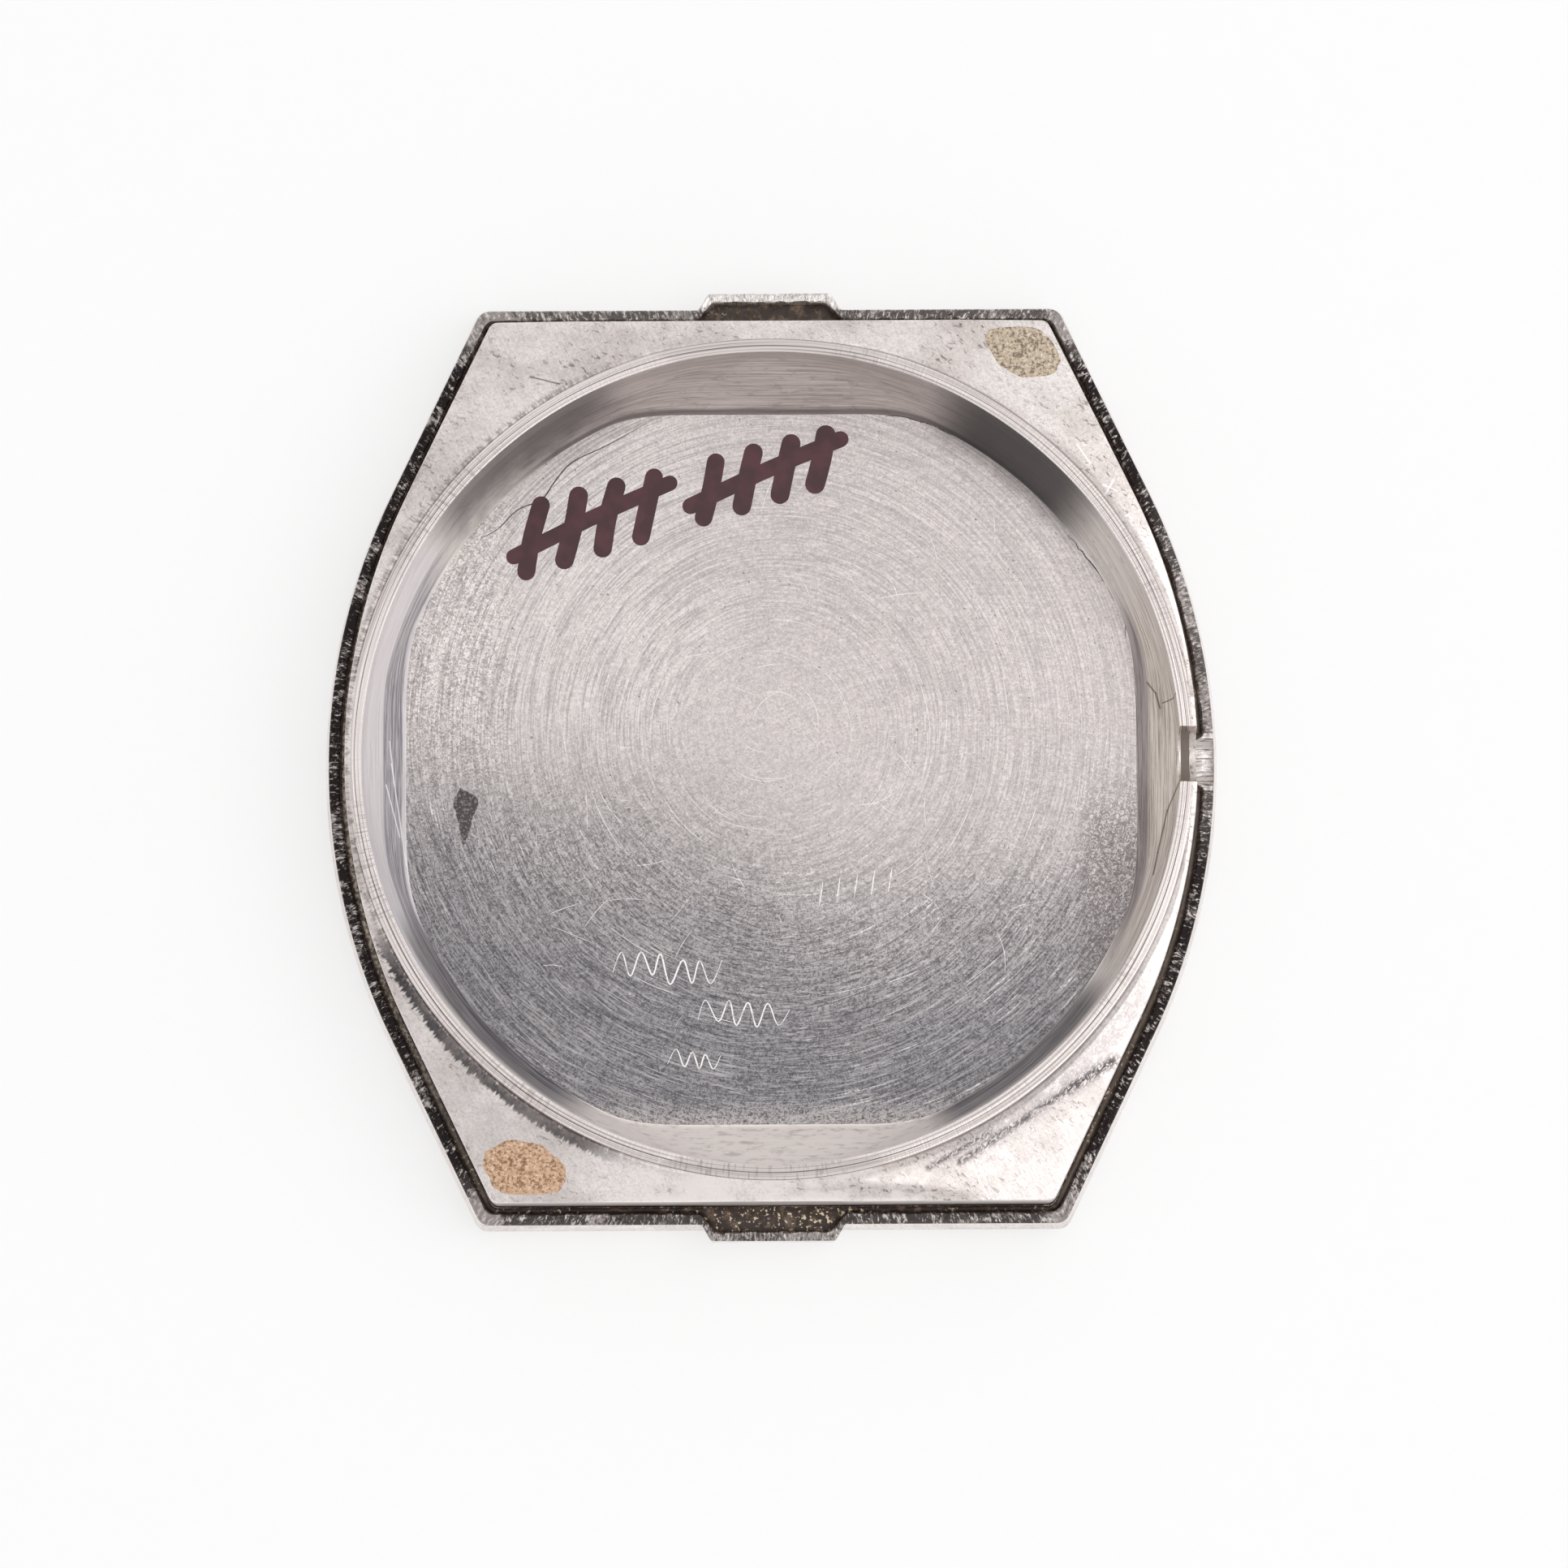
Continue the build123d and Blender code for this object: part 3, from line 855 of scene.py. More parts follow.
@dataclass(frozen=True)
class WellWallSteel:
    """Milled side of the well under the movement, brushed along its length, dimmed by old varnish, and
    painted with light and shade.
    """

    clean: str = "#fdf6f1"
    top: str = "#cabdb9"
    left: str = "#e9e4e6"
    warm: str = "#fff5ed"
    foot: str = "#bdb3b2"
    scratches: tuple[tuple[tuple[float, float], tuple[float, float]], ...] = (
        ((-12.10, 0.80), (-11.95, -0.60)),
        ((-12.05, 0.10), (-11.60, -3.10)),
        ((-12.20, -0.60), (-11.80, -2.20)),
    )
    cracks: tuple[tuple[tuple[float, float], tuple[float, float]], ...] = (
        ((11.95, 2.60), (12.20, 2.20)),
        ((12.20, 2.20), (12.32, 1.70)),
        ((12.40, 1.85), (12.84, 1.93)),
        ((12.84, -0.80), (12.50, -1.60)),
        ((12.50, -1.60), (12.20, -2.90)),
        ((12.20, -2.90), (12.05, -3.60)),
        ((12.60, 3.60), (12.72, 2.60)),
        ((12.55, -4.10), (12.15, -5.40)),
    )

    def material(self) -> bpy.types.Material:
        """Long streaks run round the wall; it is warm and cracked with varnish by the notch."""
        p = Painter("stainless_steel_milled_wall")
        streaks = p.noise(p.stretched(3.0, 3.0, 0.07), 4.0, 0.8)
        mottle = p.noise(p.stretched(0.5, 0.5, 0.2), 3.0, 0.7)
        base = p.mixed(self.clean, "#e2d8d2", p.ramp(streaks, 0.40, 0.62))
        base = p.tint(base, "#b3a8a4", p.ramp(mottle, 0.56, 0.70), 0.5)
        # the side towards 12 o'clock is darkened by painted shade
        shaded_top_side = p.mixed(self.top, "#9b8f8b", p.ramp(streaks, 0.44, 0.62, 0.0, 0.85))
        shaded_top_side = p.tint(shaded_top_side, "#e6dbd7", p.ramp(streaks, 0.42, 0.30, 0.0, 0.8))
        shaded_top_side = p.tint(shaded_top_side, "#978b88", p.ramp(mottle, 0.54, 0.68), 0.5)
        # painted shadow line at the foot of this side
        shaded_top_side = p.tint(shaded_top_side, "#5a5150", p.ramp(p.z, 0.98, 0.80, 0.0, 0.75))
        base = p.layer(base, shaded_top_side, p.ramp(p.y, 8.2, 10.6))
        # and the side towards 6 o'clock is lightened by a painted highlight
        base = p.tint(base, "#fff5f1", p.ramp(p.y, -9.6, -10.8), p.ramp(mottle, 0.60, 0.48), 0.8)
        # the side towards 9 o'clock gets a painted reflection: bright above, long grey stripes below
        beside = p.ramp(p.x, -9.6, -11.2)
        low = p.band(p.math("ADD", p.z, p.math("MULTIPLY", streaks, 0.25)), 1.02, 1.85, 0.10)
        grey = p.mixed("#c9c5c8", "#87828a", p.ramp(streaks, 0.42, 0.58))
        stripes = p.mixed(self.left, "#d6cfd1", p.ramp(streaks, 0.46, 0.62))
        stripes = p.layer(stripes, grey, low)
        base = p.layer(base, stripes, p.masks(beside, p.ramp(p.y, 8.0, 6.5)))
        # the side towards 3 o'clock keeps a tan varnish above a grey foot
        tan = p.mixed(self.warm, "#b8a99b", p.ramp(streaks, 0.42, 0.62))
        foot = p.mixed(self.foot, "#857b7b", p.ramp(streaks, 0.42, 0.60))
        height = p.math("ADD", p.z, p.swing(streaks, 0.5))
        tan = p.layer(foot, tan, p.ramp(height, 1.05, 1.45))
        varnished = p.masks(p.ramp(p.x, 10.2, 11.6), p.ramp(p.y, 6.5, 4.0), p.ramp(p.y, -9.5, -7.5))
        base = p.layer(base, tan, varnished)
        # in the two lower corners, painted shade with the floor's hairlines runs up the side
        hairlines = p.noise(p.arcs(0.06, 3.0), 4.0, 0.75)
        brushed = p.mixed("#a09b9d", "#4d494e", p.ramp(hairlines, 0.38, 0.62))
        lower = p.math("MAXIMUM", p.sector(222, 13, 9), p.math("MULTIPLY", p.sector(310, 11, 7), 0.9))
        base = p.layer(base, brushed, p.masks(lower, p.ramp(p.z, 2.75, 2.1)))
        for start, end in self.scratches:
            base = p.tint(base, "#ffffff", p.line(start, end, 0.06))
        for start, end in self.cracks:
            base = p.tint(base, "#4a3f39", p.line(start, end, 0.075), 0.85)
        # painted shade in the two upper corners
        base = p.tint(base, "#3b3637", upper_corner_shade(p), 0.95)
        return p.finish(base, 0.36, 0.12, streaks, 0.006)


@dataclass(frozen=True)
class MilledFlankSteel:
    """Milled outer side of the movement frame, with painted shade towards the groove."""

    clean: str = "#e9e2df"
    stain: str = "#b3a8a2"

    def material(self) -> bpy.types.Material:
        """Level milling streaks in brown-grey, darker towards the groove."""
        p = Painter("stainless_steel_milled_flank")
        streaks = p.noise(p.stretched(2.2, 2.2, 0.09), 4.0, 0.75)
        # painted shade, stronger low down towards the groove
        depth = p.ramp(p.z, 1.5, 3.3, 0.95, 0.15)
        base = p.mixed(self.clean, self.stain, p.math("MULTIPLY", p.ramp(streaks, 0.38, 0.62), 0.7))
        base = p.tint(base, "#5a4b43", depth, 0.12)
        return p.finish(base, 0.40, 0.30, streaks, 0.006)


@dataclass(frozen=True)
class PackedDirt:
    """Hardened grease and swarf."""

    name: str = "hardened_grease_and_dirt"
    grease: str = "#40332b"
    rust: str = "#86705f"
    gold: str = "#ffe9cc"
    glints: float = 0.9

    def material(self) -> bpy.types.Material:
        """Nearly black, with rusty lumps and a few golden flecks of bare metal, their glint painted in as
        colour.
        """
        p = Painter(self.name)
        clods = p.noise(p.stretched(0.35, 0.35, 0.3), 4.0, 0.65)
        patches = p.noise(p.stretched(3.5, 3.5, 3.0), 2.0, 0.5)
        base = p.mixed(self.grease, self.rust, p.ramp(clods, 0.48, 0.72))
        # dry and greyer in the groove than in the two pockets
        dry = p.ramp(p.math("ABSOLUTE", p.y), 14.0, 13.5, 0.0, 0.55)
        base = p.tint(base, "#9a8d83", dry)
        flakes = p.noise(p.stretched(0.13, 0.13, 0.2), 2.0, 0.6)
        chalky = p.masks(p.ramp(p.x, -9.5, -12.0), p.ramp(flakes, 0.44, 0.58), 0.75)
        base = p.tint(base, "#f0e4d6", chalky)
        # golden flecks of bare metal, with a painted glint
        bright = p.masks(p.ramp(flakes, 0.58, 0.64), p.ramp(patches, 0.47, 0.56), self.glints)
        base = p.tint(base, self.gold, bright)
        return p.finish(base, p.ramp(bright, 0.0, 1.0, 0.55, 0.3), 0.0, clods, 0.03)


@dataclass(frozen=True)
class DriedAdhesive:
    """Dial adhesive, dried to a granular crust."""

    name: str
    crust: str
    grain_dark: str
    grain_light: str

    def material(self) -> bpy.types.Material:
        """Tan crumbs with pale tops and brown gaps."""
        p = Painter(self.name)
        crumbs = p.noise(p.stretched(0.11, 0.11, 0.11), 3.0, 0.75)
        patches = p.noise(p.stretched(0.55, 0.40, 0.5), 3.0, 0.6)
        dark = p.ramp(p.math("ADD", crumbs, p.math("MULTIPLY", patches, 0.3)), 0.66, 0.54)
        base = p.mixed(self.crust, self.grain_dark, dark)
        base = p.tint(base, self.grain_light, p.ramp(crumbs, 0.55, 0.68))
        return p.finish(base, 0.72, 0.0, crumbs, 0.05)


@dataclass(frozen=True)
class MarkerInk:
    """Spirit marker ink on steel."""

    colour: str = "#45252a"

    def material(self) -> bpy.types.Material:
        """Flat maroon film, a little denser where the pen rested."""
        p = Painter("marker_ink")
        pool = p.noise(p.stretched(0.8, 0.8, 0.8), 2.0, 0.5)
        base = p.mixed(self.colour, "#562e33", p.ramp(pool, 0.4, 0.65))
        return p.finish(base, 0.45, 0.0, pool, 0.002)


@dataclass(frozen=True)
class LitAcrylic:
    """White acrylic table, lit a little from below."""

    colour: str = "#b4b4b4"
    glow: float = 0.535

    def material(self) -> bpy.types.Material:
        """Even white that keeps shadows faint."""
        p = Painter("white_acrylic_table")
        grain = p.noise(p.stretched(1.0, 1.0, 1.0), 2.0, 0.5)
        base = p.mixed(self.colour, "#b0b0b0", p.math("MULTIPLY", grain, 0.3))
        p.shader.inputs["Emission Color"].default_value = (1.0, 1.0, 1.0, 1.0)
        p.shader.inputs["Emission Strength"].default_value = self.glow
        return p.finish(base, 0.9, 0.0, None, 0.0)


# ---------------------------------------------------------------- sizes shared by the pieces


@dataclass(frozen=True)
class CaseSizes:
    """Sizes that several pieces share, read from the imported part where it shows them."""

    rim_half_width: float
    rim_half_length: float
    rim_height: float
    groove_floor: float
    residue_top: float
    floor_level: float
    frame_top: float
    flank_flare: float = 0.15
    rim_wall: float = 0.35
    groove_width: float = 0.25
    seat_clearance: float = 0.03
    rim_corner: float = 0.45
    frame_corner: float = 0.30
    bore_radius: float = 12.85
    notch_radius: float = 0.87
    slot_bottom_drop: float = 1.35
    rim_notch_depth: float = 0.47
    pocket_projection: float = 0.54

    @classmethod
    def from_frame(cls) -> "CaseSizes":
        """Read the overall sizes from the CAD nodes' boxes."""
        shell_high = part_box("back_shell")[1] / MM
        frame_low, frame_high = (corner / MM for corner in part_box("movement_frame"))
        dirt_low, dirt_high = (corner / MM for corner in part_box("groove_residue"))
        return cls(
            rim_half_width=shell_high.x - cls.flank_flare,
            rim_half_length=shell_high.y - cls.pocket_projection,
            rim_height=shell_high.z,
            groove_floor=dirt_low.z,
            residue_top=dirt_high.z,
            floor_level=frame_low.z,
            frame_top=frame_high.z,
        )

    @property
    def frame_inset(self) -> float:
        """How far the movement frame stands inside the rim's outer edge."""
        return self.rim_wall + self.groove_width

    @property
    def outline(self) -> Tonneau:
        """The rim's outer edge, without its pockets."""
        return Tonneau(self.rim_half_width, self.rim_half_length)

    @property
    def pocket(self) -> Pocket:
        """The two pry pockets."""
        return Pocket(self.rim_half_length, self.rim_wall, projection=self.pocket_projection)

    def stations(self, count: int, pockets: bool) -> tuple[Array, Array]:
        """Directions evenly spaced along the rim, with both sides of the stem slot among them.

        Args:
            count: how many.
            pockets: follow the pockets' jogs too.

        Returns:
            The directions, and each one's place along the rim.
        """
        fine = np.linspace(0, 2 * math.pi, 40001)
        radius = self.outline.radius(fine, 0, self.rim_corner)
        if pockets:
            radius = self.pocket.widen(fine, radius, 0)
        x, y = radius * np.cos(fine), radius * np.sin(fine)
        run = np.concatenate([[0], np.cumsum(np.hypot(np.diff(x), np.diff(y)))])
        place = np.arange(count) / count * run[-1]
        angles = np.interp(place, run, fine)
        half = math.asin(self.notch_radius / (self.bore_radius + self.frame_inset / 2))
        sliver = 0.0004
        for edge in (half - sliver, half + sliver):
            for target in (edge, 2 * math.pi - edge):
                angles[np.argmin(np.abs(angles - target))] = target
        return np.sort(angles), place


def straight_near_slot(angles: Array, radius_at: Callable[[Array], Array], level: float) -> Array:
    """Bend the stations near 3 o'clock so that they run parallel to the stem slot.

    Args:
        angles: the stations' directions.
        radius_at: the ring's outline.
        level: radius at which a bent station has its own direction's height.

    Returns:
        The directions in which this ring's points lie.
    """
    near, far = 1.3, 3.2
    side = np.cos(angles) > 0
    height = level * np.sin(angles)
    share = np.where(side, 1 - smoothstep(near, far, np.abs(height)), 0)
    bent = angles.copy()
    for _ in range(8):
        target = np.arcsin(np.clip(height / radius_at(bent), -1, 1))
        target = np.where(angles > math.pi, target + 2 * math.pi, target)
        bent = np.where(side, angles + share * (target - angles), angles)
    return bent


# ---------------------------------------------------------------- pieces


@dataclass
class BackShell:
    """Pressed steel back: floor, rolled outer edge, ragged upright rim and its pockets."""

    sizes: CaseSizes
    station_count: int = 2304
    bevel_run: float = 0.90
    knee_run: float = 0.32
    knee_height: float = 0.24
    flank_height: float = 0.80
    pocket_base: float = 0.62
    tooth_depth: float = 0.060
    edge_rag: float = 0.030
    saddle_spread: float = 0.22

    def build(self) -> bpy.types.Object:
        """Build and dress the shell."""
        s = self.sizes
        angles, place = s.stations(self.station_count, True)
        perimeter = place[-1] + place[1]
        spun = Spun(angles)
        inner, rim_edge, outside = 0, 1, 2

        def plain(inset: float, corner: float = s.rim_corner) -> Array:
            return s.outline.radius(angles, inset, corner)

        def jogged(inset: float, depth: float) -> Array:
            return s.pocket.widen(angles, plain(inset), depth)

        rolled = [(3.0, 0.0), (1.2, 0.0), (self.bevel_run, 0.004), (0.74, 0.045), (0.50, 0.14)]
        rolled += [(self.knee_run, self.knee_height), (0.17, 0.38), (0.02, 0.55)]
        for inset, z in rolled:
            spun.ring(plain(inset, s.rim_corner + 0.4 * inset), z, outside)
        under = -s.flank_flare * 0.45
        spun.ring(jogged(under, 0.10), self.pocket_base - 0.005, outside)
        spun.ring(jogged(-s.flank_flare * 0.75, 0.02), self.pocket_base + 0.06, outside)
        for z in (self.flank_height, 1.0, 1.3, 1.55, 1.68):
            share = (s.rim_height - z) / (s.rim_height - self.flank_height)
            spun.ring(jogged(-s.flank_flare * share, 0), z, outside)
        self.rim(spun, angles, place, perimeter, jogged, rim_edge)
        land = s.groove_floor
        spun.ring(jogged(s.rim_wall + 0.005, 0.315), land + 0.12, rim_edge)
        spun.ring(jogged(s.rim_wall + 0.02, 0.33), land, rim_edge)
        recess = s.frame_inset - s.seat_clearance
        spun.ring(plain(recess, s.frame_corner), land, rim_edge)
        spun.ring(plain(recess, s.frame_corner), s.floor_level, inner)
        for radius in (12.9, 12.5, 12.0):
            spun.ring(np.full_like(angles, radius), s.floor_level, inner)
        made = spun.build("shell_pressing", closed=False, caps=True)
        outer = PolishedSteel("stainless_steel_outer_face", worn="#e9e0dc", roughness=0.28, pit_share=0.4)
        dress(made, CircularBrushedSteel().material(), ShearedSteel().material(), outer.material())
        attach(made, "shell")
        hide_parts("back_shell")
        return made

    def rim(
        self,
        spun: Spun,
        angles: Array,
        place: Array,
        perimeter: float,
        jogged: Callable[[float, float], Array],
        finish: int,
    ) -> None:
        """Add the sheared and filed rim edge, from outside to inside.

        Args:
            spun: the mesh being made.
            angles: the stations' directions.
            place: each station's place along the rim.
            perimeter: the rim's length.
            jogged: outline for an inset and a pocket depth.
            finish: material number.
        """
        s = self.sizes
        coarse = wander(place, perimeter, 1.7, 11)
        insets = (0.0, 0.02, 0.07, 0.13, 0.19, 0.25, 0.31, 0.35)
        drops = (0.06, 0.02, 0.0, 0.0, 0.0, 0.0, 0.01, 0.06)
        for k, (inset, drop) in enumerate(zip(insets, drops)):
            inward = k / (len(insets) - 1)
            narrow = wander(place, perimeter, 0.13, 20 + k // 2)
            teeth = narrow * 0.6 + wander(place, perimeter, 0.30, 40 + k) * 0.4
            middle = math.sin(math.pi * (k + 0.5) / len(insets))
            z = s.rim_height - drop - self.tooth_depth * (0.5 + 0.5 * teeth) * (0.35 + 0.65 * middle)
            z = z - 0.02 * (0.5 + 0.5 * coarse)
            rag = self.edge_rag * inward**2 * (0.7 + 0.9 * wander(place, perimeter, 0.25, 60))
            rag = rag + 0.010 * wander(place, perimeter, 0.5, 61) * (1 - inward)
            radius = jogged(inset, inset * s.pocket.wall / s.rim_wall) + rag
            lateral = s.rim_half_width * np.where(np.cos(angles) > 0, np.abs(np.sin(angles)), 1.0)
            spread = 1 - smoothstep(s.notch_radius * 0.75, s.notch_radius * 1.05, lateral)
            shift = spread * inward**2
            radius = radius - shift * (self.saddle_spread + rag)
            y = radius * np.sin(angles)
            x = radius * np.cos(angles)
            centre_z = s.rim_height + s.notch_radius - s.rim_notch_depth
            saddle = centre_z - np.sqrt(np.maximum(s.notch_radius**2 - y**2, 0))
            saddle = np.maximum(saddle, s.groove_floor + 0.12 * shift)
            ribs = 0.025 * wander(place, perimeter, 0.22, 70)
            in_notch = (x > 0) & (np.abs(y) < s.notch_radius)
            z = np.where(in_notch, np.minimum(z, saddle - 0.02 * drop + ribs), z)
            spun.add(x, y, z, finish)


@dataclass
class MovementFrame:
    """Raised ring that carries the movement: bore, turned lip and steps, hollow, corner faces and well."""

    sizes: CaseSizes
    station_count: int = 1728
    lip_land: float = 0.22
    steps: tuple[float, float] = (0.14, 0.10)
    step_drop: float = 0.05
    cove_radius: float = 0.30
    face_slope: float = 9.0
    facet_slope: float = 29.0
    facet_rise: float = 0.33
    seat_length: float = 1.20
    side_run: float = 1.20
    end_run: float = 1.45
    corner_run: float = 0.65
    crease: float = 0.45
    bevel: float = 0.13
    slot_dark_end: float = 13.17

    @property
    def ring_outer(self) -> float:
        """Radius of the turned steps' outer edge."""
        return self.sizes.bore_radius + self.lip_land + sum(self.steps)

    @property
    def cove_outer(self) -> float:
        """Radius at which the hollow runs out into the corner faces."""
        return self.ring_outer + self.cove_radius

    def face_height(self, x: Array, y: Array) -> Array:
        """Height of the frame's face at places on the plan.

        Args:
            x: places along X.
            y: places along Y.

        Returns:
            One height for each place, without the stem slot.
        """
        s = self.sizes
        r = np.hypot(x, y)
        first = s.bore_radius + self.lip_land
        second = first + self.steps[0]
        top = np.where(r < first, s.frame_top, np.where(r < second, s.frame_top - self.step_drop, 0))
        step_two = s.frame_top - 2 * self.step_drop
        cove_floor = step_two - self.cove_radius
        dip = np.sqrt(np.maximum(self.cove_radius**2 - (self.cove_outer - r) ** 2, 0))
        cove = step_two - dip
        cone = cove_floor - (r - self.cove_outer) * math.tan(math.radians(self.face_slope))
        worn = 0.022 * lumps(x, y, 2.6, 5) + 0.006 * lumps(x, y, 0.9, 6)
        cone = cone + worn * smoothstep(0.0, 0.8, r - self.cove_outer)
        beyond = np.where(r < self.cove_outer, cove, cone)
        z = np.where(r < second, top, np.where(r < self.ring_outer, step_two, beyond))
        edge_y = s.rim_half_length - s.frame_inset
        inward = edge_y - np.abs(y)
        facet = cove_floor - self.facet_rise + inward * math.tan(math.radians(self.facet_slope))
        return soft_min(z, facet + 0.3 * worn, 0.03)

    def slot_height(self, x: Array, y: Array, z: Array) -> Array:
        """Lower the heights that lie in the stem slot to its round bottom.

        Args:
            x: places along X.
            y: places along Y.
            z: the heights without the slot.

        Returns:
            One height for each place.
        """
        s = self.sizes
        centre_z = s.frame_top - s.slot_bottom_drop + s.notch_radius
        bottom = centre_z - np.sqrt(np.maximum(s.notch_radius**2 - y**2, 0))
        return np.where((x > 0) & (np.abs(y) < s.notch_radius), np.minimum(z, bottom), z)

    def well_radius(self, angle: Array, z: float) -> Array:
        """Outline of the well: a rounded square with its corners on a cone.

        Args:
            angle: directions, in radians from +X.
            z: the height.

        Returns:
            One distance from the axis for each direction.
        """
        s = self.sizes
        top = s.frame_top - self.seat_length
        up = (z - s.floor_level) / (top - s.floor_level)
        margin = 0.05
        half_x = s.bore_radius - self.side_run + (self.side_run + margin) * up
        half_y = s.bore_radius - self.end_run + (self.end_run + margin) * up
        cone = s.bore_radius - self.corner_run + self.corner_run * up
        c, t = np.maximum(np.abs(np.cos(angle)), 1e-6), np.maximum(np.abs(np.sin(angle)), 1e-6)
        square = soft_min(half_x / c, half_y / t, self.crease)
        blend = self.crease * (1 - up) + 0.02
        return soft_min(square, np.full_like(angle, cone), blend)

    def build(self) -> bpy.types.Object:
        """Build and dress the frame."""
        s = self.sizes
        angles, _ = s.stations(self.station_count, False)
        spun = Spun(angles)
        face, turned, wall, flank = 0, 1, 2, 3
        level = s.bore_radius + s.frame_inset / 2

        def place(radius_at: Callable[[Array], Array], z: Optional[Array], finish: int) -> None:
            bent = straight_near_slot(angles, radius_at, level)
            radius = radius_at(bent)
            x, y = radius * np.cos(bent), radius * np.sin(bent)
            height = self.face_height(x, y) if z is None else np.broadcast_to(z, x.shape)
            spun.add(x, y, self.slot_height(x, y, height), finish)

        def edge(inset: float) -> Callable[[Array], Array]:
            return lambda a: s.outline.radius(a, s.frame_inset + inset, s.frame_corner)

        place(lambda a: self.well_radius(a, s.floor_level) + 0.05, s.floor_level, flank)
        place(edge(0.03), s.floor_level, flank)
        place(edge(0.0), s.floor_level + 0.03, flank)
        brow = self.brow(angles, edge(self.bevel))
        for share in (0.25, 0.50, 0.75, 0.93):
            place(edge(0.0), s.floor_level + (brow - s.floor_level) * share, flank)
        place(edge(0.01), brow - 0.05, flank)
        place(edge(0.03), brow - 0.02, face)
        self.face_rings(place, edge, face, turned)
        bore = s.bore_radius
        seat = s.frame_top - self.seat_length
        lip = self.face_height(bore * np.cos(angles), bore * np.sin(angles))
        place(lambda a: np.full_like(a, bore + 0.015), lip - 0.004, turned)
        for share in (0.02, 0.35, 0.70, 0.98):
            place(lambda a: np.full_like(a, bore), lip + (seat - lip) * share, wall)
        for z in (2.72, 2.5, 2.2, 1.9, 1.6, 1.3, 1.05, 0.90, 0.82):
            place(lambda a, z=z: self.well_radius(a, z), z, wall)
        toe = 0.05
        for share in (0.6, 0.3, 0.12, 0.03):
            z = s.floor_level + toe * share
            reach = toe * (1 - math.sqrt(1 - (1 - share) ** 2))
            place(lambda a, z=z, reach=reach: self.well_radius(a, z) - reach, z, wall)
        made = spun.build("frame_ring", closed=True)
        dress(
            made,
            HandFinishedSteel("stainless_steel_hand_finished").material(),
            TurnedSteel().material(),
            WellWallSteel().material(),
            MilledFlankSteel().material(),
            # near-black slot bottom: dirt and painted shade
            PackedDirt("dirt_and_shade_in_stem_slot", "#1c1614", "#46342a", glints=0.0).material(),
        )
        self.blacken_slot(made, 4)
        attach(made, "frame")
        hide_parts("movement_frame")
        return made

    def blacken_slot(self, made: bpy.types.Object, number: int) -> None:
        """Give the faces at the bottom of the stem slot the near-black material of dirt and painted shade.

        Args:
            made: the frame.
            number: that material's number.
        """
        s = self.sizes
        top = (s.frame_top - s.slot_bottom_drop + s.notch_radius * 0.9) * MM
        side, start, end = s.notch_radius * 1.02 * MM, (s.bore_radius + 0.06) * MM, self.slot_dark_end * MM
        for polygon in made.data.polygons:
            x, y, z = polygon.center
            ragged = end + 0.03 * MM * math.sin(y / MM * 9)
            if start < x < ragged and abs(y) < side and s.groove_floor * MM < z < top:
                polygon.material_index = number

    def brow(self, angles: Array, outline: Callable[[Array], Array]) -> Array:
        """Height of the face where it meets the bevel round its outer edge."""
        radius = outline(angles)
        return self.face_height(radius * np.cos(angles), radius * np.sin(angles))

    def face_rings(
        self,
        place: Callable[[Callable[[Array], Array], Optional[Array], int], None],
        edge: Callable[[float], Callable[[Array], Array]],
        face: int,
        turned: int,
    ) -> None:
        """Add the rings of the face, from its outer bevel to the bore's lip.

        Args:
            place: adds a ring with the given outline, height and finish.
            edge: outline of the frame at an inset.
            face: material number of the corner faces.
            turned: material number of the turned ring.
        """
        bore = self.sizes.bore_radius
        first = bore + self.lip_land
        second = first + self.steps[0]
        sharp = 0.006
        cove_sines = [math.sin(math.radians(a)) for a in (0, 20, 40, 60, 75, 90)]
        knots = [self.cove_outer - self.cove_radius * sine for sine in cove_sines]
        knots += [self.ring_outer - sharp, second + sharp, second - sharp]
        knots += [first + sharp, first - sharp, bore + 0.07]
        finishes = [face] * 6 + [turned] * 6
        outward = 12
        least = 0.004

        def between(share: float, left: int) -> Callable[[Array], Array]:
            def radius_at(a: Array) -> Array:
                limit = edge(self.bevel)(a) - least * (outward - left)
                inner = np.minimum(self.cove_outer, limit - least * left)
                return inner + (limit - inner) * share

            return radius_at

        for k in range(outward):
            share = 1 - k / outward
            place(between(share, outward - k), None, face)
        for k, knot in enumerate(knots):
            order = outward + k + 1

            def radius_at(a: Array, knot: float = knot, order: int = order) -> Array:
                return np.minimum(knot, edge(self.bevel)(a) - least * order)

            place(radius_at, None, finishes[k])


